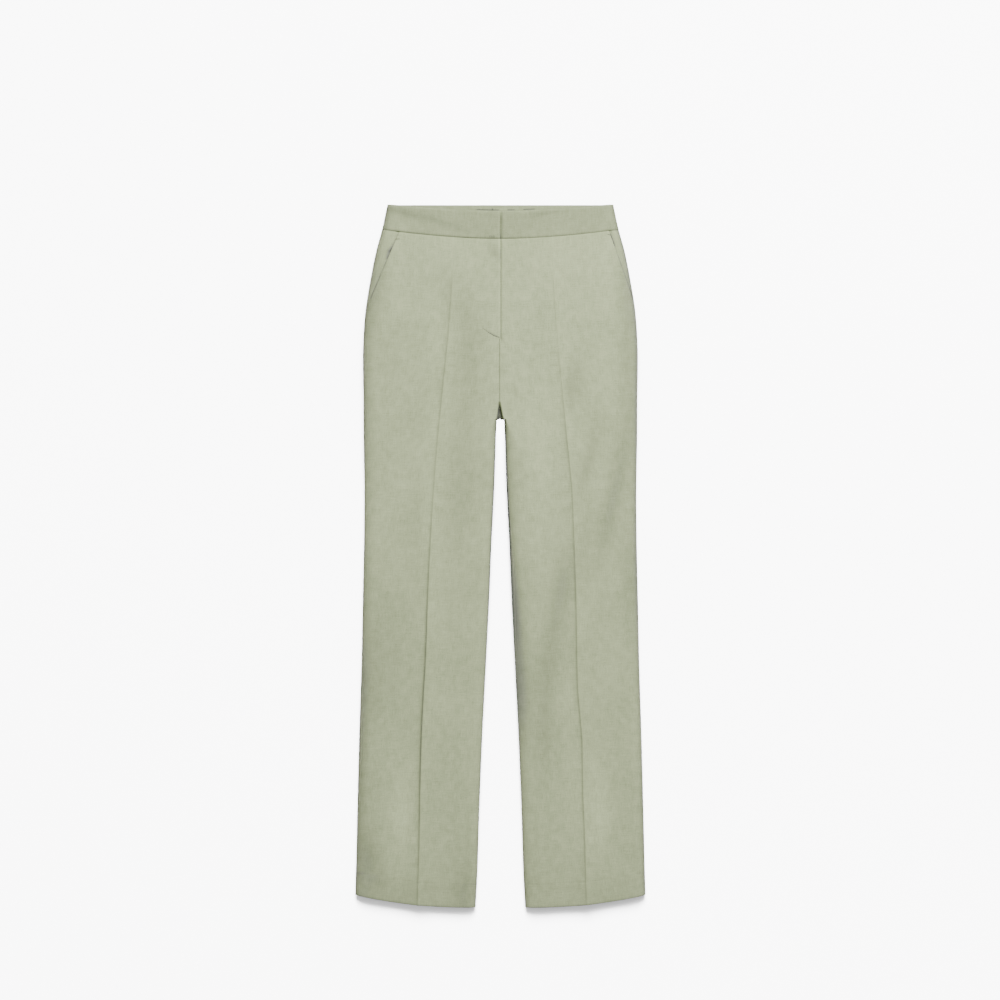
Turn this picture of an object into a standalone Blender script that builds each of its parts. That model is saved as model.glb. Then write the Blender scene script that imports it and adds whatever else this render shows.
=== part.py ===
"""Tailored trousers in sage linen-look cloth, pressed, zipped and laid flat on their back.

Metres, +Z up. The waist points to +Y and the wearer's right leg lies at -X, so the
front faces up. The origin is the middle of the garment on the surface it lies on.

Each panel is a grid laid over one of two shapes, the upper (front) and the lower (back)
half of the garment, and given its thickness by Solidify. Two coordinates place a point:
  drop   how far it is below the back edge of the waist, along the garment
  share  how far it is across its panel: 0 at the middle or the inseam, 1 at the side seam
"""

import math
from collections import namedtuple
from functools import lru_cache

import bmesh
import bpy
import numpy as np

# ---------------------------------------------------------------- driving sizes
OUTSEAM = 1.053  # waist edge to the lowest point of the hem
CLOTH = 0.0012  # one layer of cloth
BAND = 0.0024  # waistband: two layers and the interfacing between them
HEM_TURN = 0.035  # width of the turned-up hem, which is two layers thick
SEAM_GAP = 0.0003  # between pieces that are sewn together
EDGE_GAP = 0.0002  # half the gap at a seam that lies round an edge
UNDER = CLOTH + SEAM_GAP  # how far down a piece lies that goes under another

FORK = 0.3215  # drop of the crotch point, where four seams meet
FORK_ROOM = 1.8  # how many times wider the gap is there
NOTCH = 0.2915  # drop at which the two fronts start to part above it
NOTCH_WIDTH = 0.0043  # half the width of the notch at the crotch point
NOTCH_DEPTH = 0.8  # how deep the notch is, as a share of the way down to the crotch seam
NOTCH_FALL = 0.009  # stretch over which its floor falls the rest of the way
NOTCH_WALL = 0.0035  # width of the notch's sides where it starts
BACK_RISE = 0.0245  # stretch over which the seat curves up to the crotch point

BAND_SIDE, BAND_MIDDLE = 0.038, 0.052  # drop of the front waistband's seam
BACK_BAND_SIDE, BACK_BAND_MIDDLE = 0.036, 0.041
FRONT_DIP = 0.0098  # how much lower the front edge of the waist is in the middle
HEM_SLANT = 0.019  # how much shorter the hem is at the side seam

FLY_END = 0.1998  # drop at which the fly ends and the seam begins
FLY_EDGE = 0.0009  # x of the fly's edge, which laps over the wearer's left front
FLY_TUCK = 0.0045  # how far the left front reaches under that edge
SEAM_SHIFT = -0.0016  # x of the front seam below the fly
LAP_CLEAR = FLY_EDGE + 0.0009  # x up to which the left front lies fully under the lap
BAND_LAP = 0.032  # how far the left waistband reaches under the right one
BAND_LIFT = 0.0007  # how far the waistband stands proud of the panels, over its seam
HOOK_THICK = 0.0012
SLIDER_ROOM = 0.0022  # space left for the slider between the zip and the underlap

SIDES = {"right": -1, "left": 1}  # the wearer's right leg is at -X

# One row for each station down the garment. Lengths across are measured from the middle.
Station = namedtuple("Station", "drop side inseam crease loft roll")
STATIONS = (
    #       drop    side    inseam  crease  loft    roll
    Station(0.000, 0.1694, 0.0042, 0.0720, 0.0150, 0.0100),
    Station(0.036, 0.1771, 0.0042, 0.0725, 0.0175, 0.0120),
    Station(0.070, 0.1863, 0.0042, 0.0735, 0.0205, 0.0160),
    Station(0.110, 0.1942, 0.0042, 0.0755, 0.0235, 0.0190),
    Station(0.160, 0.2021, 0.0042, 0.0790, 0.0260, 0.0210),
    Station(0.215, 0.2056, 0.0042, 0.0840, 0.0265, 0.0220),
    Station(0.290, 0.2051, 0.0042, 0.0915, 0.0250, 0.0220),
    Station(0.350, 0.2049, 0.0066, 0.0975, 0.0225, 0.0210),
    Station(0.420, 0.2038, 0.0090, 0.1032, 0.0200, 0.0200),
    Station(0.500, 0.2043, 0.0130, 0.1080, 0.0180, 0.0190),
    Station(0.590, 0.2062, 0.0167, 0.1113, 0.0168, 0.0180),
    Station(0.690, 0.2083, 0.0217, 0.1142, 0.0158, 0.0175),
    Station(0.800, 0.2118, 0.0273, 0.1203, 0.0150, 0.0170),
    Station(0.920, 0.2148, 0.0320, 0.1250, 0.0144, 0.0165),
    Station(1.000, 0.2167, 0.0345, 0.1275, 0.0140, 0.0160),
    Station(1.053, 0.2183, 0.0373, 0.1295, 0.0138, 0.0155),
)
SEAM_HEIGHT = 0.42  # height of the widest point of an edge, as a share of the loft
UNDER_ROLL = 0.45  # width of the lower curve of an edge, as a share of the upper one
CREASE_RISE, CREASE_WIDTH = 0.0024, 0.011  # the pressed crease stands up as a ridge
CREASE_TOP, CREASE_FULL = 0.095, 0.230  # drops where it starts and is fully formed
SAG = 0.0016  # the cloth dips between the crease and the edges

# Where a seam sits round an edge: degrees up from the widest point, at its most.
SEAM_TURN = 10.0
Turn = namedtuple("Turn", "extra middle reach")
TURNS = {
    ("right", "side"): Turn(34.0, 0.820, 0.300),
    ("left", "inseam"): Turn(36.0, 0.560, 0.300),
}

# The slanted pocket mouths: where each leaves the waistband and meets the side seam.
Mouth = namedtuple("Mouth", "top_x top_drop end_drop")
MOUTHS = {"right": Mouth(0.1510, 0.041, 0.161), "left": Mouth(0.1620, 0.040, 0.149)}
POCKET_DEPTH = 0.0021  # how much lower it lies than the front at the mouth
POCKET_UNDER = 0.020  # how far the pocket's side piece runs in under the mouth
POCKET_BLEND = 0.014  # width over which it comes up level with the front

# Soft folds in the upper half. Height is negative for a trough; lean is dx / d(drop).
Fold = namedtuple("Fold", "x drop length width height lean")
FOLDS = (
    Fold(0.136, 0.372, 0.110, 0.020, -0.0016, -0.38),
    Fold(0.166, 0.455, 0.110, 0.018, -0.0014, -0.33),
    Fold(0.102, 0.700, 0.220, 0.018, -0.0014, -0.17),
    Fold(0.022, 0.285, 0.050, 0.006, -0.0009, 0.22),
    Fold(-0.098, 0.095, 0.070, 0.022, -0.0014, 0.10),
    Fold(-0.062, 0.420, 0.180, 0.022, -0.0012, 0.06),
    Fold(-0.168, 0.640, 0.260, 0.020, -0.0012, -0.03),
    Fold(-0.088, 0.930, 0.200, 0.020, -0.0010, 0.05),
    Fold(0.170, 0.880, 0.220, 0.020, -0.0010, 0.05),
    Fold(-0.115, 0.018, 0.036, 0.009, -0.0011, 1.60),
    Fold(0.065, 0.012, 0.030, 0.008, -0.0010, -1.50),
)

COLOURS = {
    "cloth": ((0.43, 0.46, 0.35, 1.0), 0.90, 0.0),
    "facing": ((0.40, 0.42, 0.33, 1.0), 0.90, 0.0),
    "zip": ((0.38, 0.41, 0.31, 1.0), 0.60, 0.0),
    "metal": ((0.62, 0.62, 0.60, 1.0), 0.35, 1.0),
}


# ---------------------------------------------------------------- curves
def ease(t):
    """0 before t = 0, 1 after t = 1, and smooth in between."""
    t = min(1.0, max(0.0, t))
    return t * t * (3 - 2 * t)


def bell(t):
    """1 at t = 0 and 0 from t = 1 on, on both sides."""
    return ease(1 - abs(t))


@lru_cache(maxsize=None)
def station(drop):
    """The table's row at any drop, on smooth curves through its own rows."""
    drops = np.array([row.drop for row in STATIONS])
    values = np.array(STATIONS)
    slopes = np.gradient(values, drops, axis=0)
    i = int(np.clip(np.searchsorted(drops, drop) - 1, 0, len(drops) - 2))
    span = drops[i + 1] - drops[i]
    t = (drop - drops[i]) / span
    if not 0 <= t <= 1:
        end = i + 1 if t > 1 else i
        return Station(*(values[end] + slopes[end] * (drop - drops[end])))
    start_pull = (t**3 - 2 * t**2 + t) * span * slopes[i]
    end_pull = (t**3 - t**2) * span * slopes[i + 1]
    mix = 3 * t**2 - 2 * t**3
    return Station(*(values[i] * (1 - mix) + values[i + 1] * mix + start_pull + end_pull))


def seam_turn(leg, edge, drop, shift=0.0):
    """How far up round an edge its seam sits, in radians; shift is a length round the edge."""
    turn = TURNS.get((leg, edge))
    extra = turn.extra * bell((drop - turn.middle) / turn.reach) if turn else 0.0
    angle = math.radians(SEAM_TURN + extra)
    row = station(drop)
    high = row.loft - edge_height(drop)
    if edge == "inseam":
        shift *= 1 + (FORK_ROOM - 1) * bell((drop - FORK) / 0.010)
    return angle + shift / math.hypot(row.roll * math.sin(angle), high * math.cos(angle))


def folds(x, drop):
    """Height that the soft folds add at a point of the upper half."""
    height = 0.0
    for fold in FOLDS:
        along = (drop - fold.drop) / (fold.length / 2)
        across = (x - fold.x - fold.lean * (drop - fold.drop)) / fold.width
        height += fold.height * bell(along) * math.exp(-across * across)
    return height


def top_height(leg, out, drop):
    """Height of the upper half's outer face; out is the distance from the middle."""
    row = station(drop)
    pressed = ease((drop - CREASE_TOP) / (CREASE_FULL - CREASE_TOP))
    from_crease = abs(out - row.crease)
    ridge = CREASE_RISE * pressed * math.exp(-from_crease / CREASE_WIDTH)
    inner = (row.inseam + row.roll) * ease((drop - FORK + 0.05) / 0.1)
    half = (row.crease - inner) if out < row.crease else (row.side - row.roll - row.crease)
    dip = SAG * pressed * math.sin(math.pi * min(1.0, from_crease / half)) ** 2
    return row.loft + ridge - dip + folds(SIDES[leg] * out, drop)


def middle_line(leg, drop):
    """Distance from the middle of a front's inner edge, above the crotch point."""
    if leg == "right":
        in_fly = 1 - ease((drop - FLY_END) / 0.003)
        x = SEAM_SHIFT + (FLY_EDGE - SEAM_SHIFT) * in_fly
        return -x + (0.0 if in_fly else SEAM_GAP / 2)
    in_fly = 1 - ease((drop - FLY_END + 0.006) / 0.005)
    x = SEAM_SHIFT + SEAM_GAP / 2
    return x + (FLY_EDGE - FLY_TUCK - x) * in_fly


def notch_height(leg, drop):
    """Height of the floor of the notch between the fronts, which drops to the crotch."""
    lip = top_height(leg, NOTCH_WIDTH, drop)
    low = seam_point_height(leg, "inseam", FORK, EDGE_GAP)
    sunk = NOTCH_DEPTH * ease((drop - NOTCH) / (FORK - NOTCH_FALL - NOTCH)) ** 0.6
    fall = min(1.0, max(0.0, (drop - FORK + NOTCH_FALL) / NOTCH_FALL))
    sunk += (1 - NOTCH_DEPTH) * (1 - math.sqrt(1 - fall * fall))
    return lip + (low - lip) * sunk


def edge_height(drop):
    """Height of an edge's widest point above the surface it lies on."""
    return station(drop).loft * SEAM_HEIGHT


def seam_point_height(leg, edge, drop, shift):
    """Height of the seam itself, or of the edge of a panel that is shift away from it."""
    low = edge_height(drop)
    return low + (station(drop).loft - low) * math.sin(seam_turn(leg, edge, drop, shift))


# ---------------------------------------------------------------- the two halves
ROLL_SHARE = 0.2  # share of an upper panel that is rolled over, at each edge
LOWER_ROLL_SHARE = 0.3  # the same for a lower panel
MIDDLE = 0.5  # share at which the crease lies
FLOOR_PART = 0.2  # part of the roll that is the notch's floor, next to the front seam
WRAP_PART = 0.25  # part of a lower roll that goes on above the widest point


def upper_point(leg, share, drop, depth=0.0):
    """A point of the upper half's outer face, or of a face that lies depth inside it."""
    row = station(drop)
    low = edge_height(drop)
    if share > 1 - ROLL_SHARE:
        part = (1 - share) / ROLL_SHARE
        turn = seam_turn(leg, "side", drop, EDGE_GAP)
        angle = turn + (math.pi / 2 - turn) * part
        reach = row.roll - depth
        out = row.side - depth - reach * (1 - math.cos(angle))
        high = top_height(leg, out, drop) - depth
        return out, low + (high - low) * math.sin(angle)
    if share >= ROLL_SHARE:
        inner = row.inseam + row.roll
        half = (share - MIDDLE) / (MIDDLE - ROLL_SHARE)
        if half < 0:
            out = row.crease + (row.crease - inner) * half
        else:
            out = row.crease + (row.side - row.roll - row.crease) * half
        return out, top_height(leg, out, drop) - depth
    part = share / ROLL_SHARE
    leg_out, leg_height = upper_inseam(leg, part, drop)
    body_out, body_height = upper_middle(leg, part, drop)
    split = ease((drop - FORK + 0.0004) / 0.0022)
    out = body_out + (leg_out - body_out) * split
    return out, body_height + (leg_height - body_height) * split - depth


def upper_inseam(leg, part, drop):
    """The inner edge of a leg, from its inseam (part 0) up to the flat of the leg (1)."""
    row = station(drop)
    turn = seam_turn(leg, "inseam", drop, EDGE_GAP)
    angle = turn + (math.pi / 2 - turn) * part
    out = row.inseam + row.roll * (1 - math.cos(angle))
    low = edge_height(drop)
    return out, low + (top_height(leg, out, drop) - low) * math.sin(angle)


def upper_middle(leg, part, drop):
    """The body from the front seam (part 0) outwards, with the notch above the crotch."""
    row = station(drop)
    start = middle_line(leg, drop)
    end = row.inseam + row.roll
    opened = min(1.0, (drop - NOTCH) / (FORK - NOTCH))
    floor_end = start + (NOTCH_WIDTH - start) * opened if drop > NOTCH else start
    lip = top_height(leg, floor_end, drop)
    floor = notch_height(leg, drop) if drop > NOTCH else lip
    begin = max(floor_end, start + 0.001)
    if leg == "left" and drop < FLY_END + 0.006:
        begin = max(begin, LAP_CLEAR)
    if part <= FLOOR_PART:
        return start + (begin - start) * part / FLOOR_PART, floor
    angle = math.pi / 2 * (part - FLOOR_PART) / (1 - FLOOR_PART)
    out = begin + (end - begin) * (1 - math.cos(angle))
    high = top_height(leg, out, drop)
    wall = NOTCH_WALL + (end - begin - NOTCH_WALL) * ease(opened) ** 2
    up = 1 - min(1.0, (out - begin) / wall)
    return out, high - (lip - floor) * (1 - math.sqrt(1 - up * up))


def lower_point(leg, share, drop, depth=0.0):
    """A point of the lower half's outer face, which lies flat between its edges."""
    row = station(drop)
    under = row.roll * UNDER_ROLL
    if share > 1 - LOWER_ROLL_SHARE:
        part = (1 - share) / LOWER_ROLL_SHARE
        out, height = lower_edge(leg, "side", part, drop, under)
        return row.side - depth - out, height + depth
    if share >= LOWER_ROLL_SHARE:
        start, end = row.inseam + under, row.side - under
        along = (share - LOWER_ROLL_SHARE) / (1 - 2 * LOWER_ROLL_SHARE)
        return start + (end - start) * along, depth
    part = share / LOWER_ROLL_SHARE
    out, leg_height = lower_edge(leg, "inseam", part, drop, under)
    leg_out = row.inseam + out
    body_out, body_height = lower_middle(part, drop, leg, under)
    split = ease((drop - FORK + 0.0004) / 0.0022)
    out = body_out + (leg_out - body_out) * split
    return out, body_height + (leg_height - body_height) * split + depth


def lower_edge(leg, edge, part, drop, under):
    """Round an edge from its seam (part 0) past the widest point to the floor (1)."""
    row = station(drop)
    low = edge_height(drop)
    if part < WRAP_PART:
        angle = seam_turn(leg, edge, drop, -EDGE_GAP) * (1 - part / WRAP_PART)
        back = row.roll * (1 - math.cos(angle))
        out = row.side - back if edge == "side" else row.inseam + back
        return back, low + (top_height(leg, out, drop) - low) * math.sin(angle)
    angle = math.pi / 2 * (part - WRAP_PART) / (1 - WRAP_PART)
    return under * (1 - math.cos(angle)), low * (1 - math.sin(angle))


def lower_middle(part, drop, leg, under):
    """The seat from the back seam (part 0) outwards, curving up to the crotch point."""
    row = station(drop)
    rise = min(1.0, max(0.0, (drop - FORK + BACK_RISE) / BACK_RISE))
    height = seam_point_height(leg, "inseam", FORK, -EDGE_GAP) * (1 - math.sqrt(1 - rise * rise))
    start = SEAM_GAP / 2
    floor_end = start + (NOTCH_WIDTH - start) * max(rise, 0.3)
    if part < WRAP_PART:
        return start + (floor_end - start) * part / WRAP_PART, height
    angle = math.pi / 2 * (part - WRAP_PART) / (1 - WRAP_PART)
    end = row.inseam + under
    out = floor_end + (end - floor_end) * (1 - math.cos(angle))
    return out, height * (1 - math.sin(angle))


# ---------------------------------------------------------------- the edges of the panels
def band_seam(out):
    """Drop of the seam under the front waistband."""
    return BAND_MIDDLE - (BAND_MIDDLE - BAND_SIDE) * min(1.0, abs(out) / 0.177) ** 1.8


def back_band_seam(out):
    """Drop of the seam under the back waistband."""
    return BACK_BAND_MIDDLE - (BACK_BAND_MIDDLE - BACK_BAND_SIDE) * min(1.0, abs(out) / 0.177) ** 2


def waist_edge(out):
    """Drop of the front waistband's top edge."""
    return FRONT_DIP * (1 - min(1.0, abs(out) / 0.169) ** 1.6)


def hem_edge(out):
    """How far above its lowest point the hem is, which is cut shorter at the side."""
    row = STATIONS[-1]
    across = (out - row.inseam) / (row.side - row.inseam)
    return HEM_SLANT * min(1.0, max(0.0, across)) ** 2.2


def panel_drop(out, level, seam, gap=SEAM_GAP / 2):
    """Drop of a panel's row: level runs from its waist seam (at the middle) to the hem."""
    to_seam = 1 - ease((level - seam(0)) / 0.080)
    to_hem = 1 - ease((OUTSEAM - level) / 0.060)
    return level + (seam(out) - seam(0)) * to_seam - hem_edge(out) * to_hem + gap * (level <= seam(0))


def mouth_out(leg, drop):
    """Distance of the pocket mouth's edge from the middle."""
    mouth = MOUTHS[leg]
    end_out = upper_point(leg, 1.0, mouth.end_drop)[0]
    along = (drop - mouth.top_drop) / (mouth.end_drop - mouth.top_drop)
    return mouth.top_x + (end_out - mouth.top_x) * along


def share_at(leg, out, drop):
    """The share at which the upper half is this far from the middle, past the crease."""
    low, high = MIDDLE, 1.0
    for _ in range(30):
        middle = (low + high) / 2
        if upper_point(leg, middle, drop)[0] < out:
            low = middle
        else:
            high = middle
    return low


def mouth_share(leg, drop):
    """Share of a front's outer edge: the pocket mouth, then the side seam."""
    if drop >= MOUTHS[leg].end_drop:
        return 1.0
    return min(1.0, share_at(leg, mouth_out(leg, drop), drop))


# ---------------------------------------------------------------- making the pieces
def material(name):
    """The material of that name, made at its first use."""
    found = bpy.data.materials.get(name)
    if found:
        return found
    colour, roughness, metallic = COLOURS[name]
    made = bpy.data.materials.new(name)
    made.use_nodes = True
    shader = made.node_tree.nodes["Principled BSDF"]
    shader.inputs["Base Color"].default_value = colour
    shader.inputs["Roughness"].default_value = roughness
    shader.inputs["Metallic"].default_value = metallic
    return made


def add_object(name, bm, finish, garment):
    """Turns a bmesh into a named object of the garment."""
    mesh = bpy.data.meshes.new(name)
    bm.to_mesh(mesh)
    bm.free()
    mesh.shade_smooth()
    mesh.materials.append(material(finish))
    piece = bpy.data.objects.new(name, mesh)
    garment.objects.link(piece)
    return piece


def cloth_piece(name, columns, rows, place, garment, finish="cloth", wall=CLOTH, thick_rows=()):
    """A grid of columns and rows laid by place(column, row), with a wall inside it.

    place gives x, drop and height. Rows in thick_rows have twice the wall.
    """
    bm = bmesh.new()
    bmesh.ops.create_grid(bm, x_segments=len(columns) - 1, y_segments=len(rows) - 1, size=0.5)
    wide = bm.verts.layers.deform.verify()
    for vert in bm.verts:
        i = round((vert.co.x + 0.5) * (len(columns) - 1))
        j = round((vert.co.y + 0.5) * (len(rows) - 1))
        x, drop, height = place(columns[i], rows[j])
        vert[wide][0] = 1.0 if rows[j] in thick_rows else 0.0
        vert.co = (x, OUTSEAM / 2 - drop, height)
    piece = add_object(name, bm, finish, garment)
    piece.vertex_groups.new(name="hem")
    shell = piece.modifiers.new("wall", "SOLIDIFY")
    shell.offset = -1
    shell.thickness = 2 * wall if thick_rows else wall
    if thick_rows:
        shell.vertex_group = "hem"
        shell.thickness_vertex_group = 0.5
    return piece


def face_outwards(piece, up):
    """Turns a sheet's faces so that they look up (or down), away from its wall."""
    bm = bmesh.new()
    bm.from_mesh(piece.data)
    bm.normal_update()
    looks_up = sum(face.normal.z * face.calc_area() for face in bm.faces) > 0
    if looks_up != up:
        bmesh.ops.reverse_faces(bm, faces=bm.faces)
    bm.to_mesh(piece.data)
    bm.free()


PANEL_LEVELS = (
    0.058, 0.068, 0.082, 0.100, 0.120, 0.140, 0.1485, 0.155, 0.1615, 0.173, 0.185,
    0.1935, 0.1995, 0.2035, 0.211, 0.228, 0.252, 0.274, 0.2905, 0.2945, 0.2995, 0.306,
    0.3125, 0.3170, 0.3198, 0.3210, 0.3232, 0.3280, 0.338, 0.356, 0.385, 0.420, 0.460,
    0.500, 0.545, 0.590, 0.640, 0.700, 0.760, 0.820, 0.880, 0.940, 0.985, 1.014,
)  # fmt: skip
HEM_LEVELS = (OUTSEAM - HEM_TURN, OUTSEAM - HEM_TURN / 2, OUTSEAM)
FRONT_SHARES = (
    0.0, 0.008, 0.040, 0.080, 0.120, 0.160, 0.20, 0.30, 0.42, 0.47,
    0.50, 0.53, 0.58, 0.70, 0.80, 0.85, 0.90, 0.95, 0.992, 1.0,
)  # fmt: skip
BACK_SHARES = (
    0.0, 0.008, 0.040, 0.075, 0.150, 0.225, 0.30, 0.50, 0.70, 0.775, 0.850, 0.925, 0.960, 0.992, 1.0,
)  # fmt: skip


def tucked(x, drop, depth, end):
    """How far the left side sinks to pass under the right one at the fly or waistband."""
    over = 1 - ease((x - LAP_CLEAR) / 0.0065)
    return depth * over * (1 - ease((drop - end) / 0.007))


def front_panel(leg, garment):
    """One front, from the waistband's seam to the hem, cut away at the pocket mouth."""
    side = SIDES[leg]
    levels = (BAND_MIDDLE,) + PANEL_LEVELS + HEM_LEVELS

    def place(share, level):
        drop = level
        for _ in range(2):
            wide = mouth_share(leg, drop)
            at = share
            if share > MIDDLE:
                at = MIDDLE + (share - MIDDLE) * (wide - MIDDLE) / (1 - MIDDLE)
            out, _ = upper_point(leg, at, drop)
            drop = panel_drop(out, level, band_seam)
        out, height = upper_point(leg, at, drop)
        if leg == "left":
            height -= tucked(out, drop, UNDER, FLY_END + 0.004)
        return side * out, drop, height

    panel = cloth_piece(f"front_{leg}", FRONT_SHARES, levels, place, garment, thick_rows=HEM_LEVELS)
    face_outwards(panel, up=True)


def back_panel(leg, garment):
    """One back, from the waistband's seam to the hem, flat where it lies."""
    side = SIDES[leg]
    levels = (BACK_BAND_MIDDLE, 0.049) + PANEL_LEVELS + HEM_LEVELS

    def place(share, level):
        out, _ = lower_point(leg, share, level)
        drop = panel_drop(out, level, back_band_seam)
        out, height = lower_point(leg, share, drop)
        return side * out, drop, height

    panel = cloth_piece(f"back_{leg}", BACK_SHARES, levels, place, garment, thick_rows=HEM_LEVELS)
    face_outwards(panel, up=False)


def pocket_side(leg, garment):
    """The side piece that shows between a pocket's mouth and the side seam."""
    side = SIDES[leg]
    mouth = MOUTHS[leg]
    levels = [BAND_MIDDLE + (mouth.end_drop - 0.003 - BAND_MIDDLE) * k / 9 for k in range(10)]
    columns = (-1.0, -0.4, 0.0, 0.25, 0.5, 0.75, 0.95, 1.0)

    def place(column, level):
        drop = level
        for _ in range(3):
            edge = mouth_share(leg, drop)
            if column < 0:
                tuck = POCKET_UNDER * (1 - 0.6 * ease((drop - mouth.top_drop) / 0.1))
                at = share_at(leg, mouth_out(leg, drop) + column * tuck, drop)
            else:
                at = edge + (1 - edge) * column
            out, _ = upper_point(leg, at, drop)
            drop = panel_drop(out, level, band_seam)
        edge_out = mouth_out(leg, drop)
        width = upper_point(leg, 1.0, drop)[0] - edge_out
        blend = min(POCKET_BLEND, 0.7 * width)
        depth = POCKET_DEPTH * (1 - ease((out - edge_out - 0.2 * blend) / blend))
        out, height = upper_point(leg, at, drop, depth)
        return side * out, drop, height

    piece = cloth_piece(f"pocket_side_{leg}", columns, levels, place, garment)
    face_outwards(piece, up=True)


def front_band(leg, garment):
    """Half of the front waistband. The left one reaches under the right one."""
    side = SIDES[leg]
    rows = (0.0, 0.12, 0.5, 0.88, 1.0)
    start = -0.0004 if leg == "right" else FLY_EDGE - BAND_LAP
    shares = FRONT_SHARES[6:]
    flat = 7  # columns from the end of the band to the first of those shares
    columns = [-(flat - k) for k in range(flat)] + list(shares)
    sink = BAND + SEAM_GAP + HOOK_THICK + SEAM_GAP

    def place(column, row):
        drop = BAND_MIDDLE * row
        for _ in range(3):
            if column < 0:
                first = upper_point(leg, shares[0], drop)[0]
                out = start + (first - start) * (1 + column / flat)
                height = top_height(leg, out, drop)
            else:
                out, height = upper_point(leg, column, drop)
            drop = waist_edge(out) + (band_seam(out) - SEAM_GAP / 2 - waist_edge(out)) * row
        proud = ease((1 - column) / (1.5 * ROLL_SHARE))
        height += BAND_LIFT * proud
        if leg == "left":
            height -= sink * (1 - ease((out - FLY_EDGE - SEAM_GAP) / 0.010))
        return side * out, drop, height

    piece = cloth_piece(f"waistband_front_{leg}", columns, rows, place, garment, wall=BAND)
    face_outwards(piece, up=True)


def back_band(garment):
    """The back waistband, one strip from side seam to side seam."""
    shares = BACK_SHARES[7:]
    half = [(1, share) for share in shares]
    columns = [(-1, share) for share in reversed(shares)] + [(0, 0.0)] + half
    rows = (0.0, 0.12, 0.5, 0.88, 1.0)

    def place(column, row):
        side, share = column
        leg = "right" if side < 0 else "left"
        drop = BACK_BAND_MIDDLE * row
        out, height = lower_point(leg, share, drop) if side else (0.0, 0.0)
        drop = (back_band_seam(out) - SEAM_GAP / 2) * row
        if side:
            out, height = lower_point(leg, share, drop)
        return side * out, drop, height

    piece = cloth_piece("waistband_back", columns, rows, place, garment, wall=BAND)
    face_outwards(piece, up=False)


def flat_strip(name, low, high, top, wall, garment, finish, columns=6, rows=6):
    """A strip inside the garment; low and high are its (x, drop) corners, top its height."""
    across = [k / columns for k in range(columns + 1)]
    down = [k / rows for k in range(rows + 1)]

    def place(column, row):
        x = low[0] + (high[0] - low[0]) * column
        drop = low[1] + (high[1] - low[1]) * row
        return x, drop, top(x, drop)

    piece = cloth_piece(name, across, down, place, garment, finish=finish, wall=wall)
    face_outwards(piece, up=True)


def fly_height(x, drop):
    """Outer face of the front at the fly, as a strip under it follows it."""
    leg = "right" if x < 0 else "left"
    return top_height(leg, abs(x), drop)


def fly_parts(garment):
    """What closes the front: zip, its slider, the underlap behind it, hook and bar."""

    def under_fly(layers, extra=0.0):
        return lambda x, drop: fly_height(x, drop) - layers * UNDER - extra

    def under_band(x, drop):
        return fly_height(x, drop) + BAND_LIFT - BAND - SEAM_GAP

    zip_low, zip_high = (-0.017, 0.057), (0.009, FLY_END - 0.012)
    flat_strip("zip_tape", zip_low, zip_high, under_fly(2), CLOTH, garment, "zip")
    underlap_low, underlap_high = (-0.024, 0.0555), (0.012, FLY_END - 0.004)
    top = under_fly(3, SLIDER_ROOM)
    flat_strip("fly_underlap", underlap_low, underlap_high, top, CLOTH, garment, "cloth")
    slider_low, slider_high = (-0.0085, 0.059), (-0.0015, 0.071)
    top = under_fly(3, SEAM_GAP / 2)
    thick = SLIDER_ROOM - 2 * SEAM_GAP
    flat_strip("zip_slider", slider_low, slider_high, top, thick, garment, "metal", 2, 4)
    hook_low, hook_high = (-0.021, 0.022), (-0.008, 0.034)
    flat_strip("waist_hook", hook_low, hook_high, under_band, HOOK_THICK, garment, "metal", 4, 4)


def back_facing(garment):
    """The inside of the back waistband, which shows above the lower front edge."""
    low, high = (-0.150, 0.0012), (0.150, 0.0385)

    def top(x, drop):
        return BAND + SEAM_GAP + CLOTH

    flat_strip("waistband_facing", low, high, top, CLOTH, garment, "facing", 12, 3)


def build():
    """The whole garment, in a collection of its own."""
    for old in list(bpy.data.objects):
        bpy.data.objects.remove(old)
    garment = bpy.data.collections.new("tailored_trousers")
    bpy.context.scene.collection.children.link(garment)
    for leg in SIDES:
        front_panel(leg, garment)
        back_panel(leg, garment)
        pocket_side(leg, garment)
        front_band(leg, garment)
    back_band(garment)
    back_facing(garment)
    fly_parts(garment)


build()
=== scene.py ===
# %% [markdown]
# # Tailored trousers, pressed and laid flat
#
# This lesson dresses a plain solid model of a pair of trousers. The solids already have
# the right size and place, so here each one gets a fine cloth skin in the same place,
# with the creases, seams and stitches that make cloth look like cloth.
#
# Two numbers place any point of the garment. `drop` is how far it lies below the waist,
# and `share` is how far it lies across its panel, from 0 at the inseam to 1 at the side.

# %% Load the solid model
import math
from collections import namedtuple
from functools import partial

import bmesh
import bpy
import numpy as np
from mathutils import Matrix, Vector, noise

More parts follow.
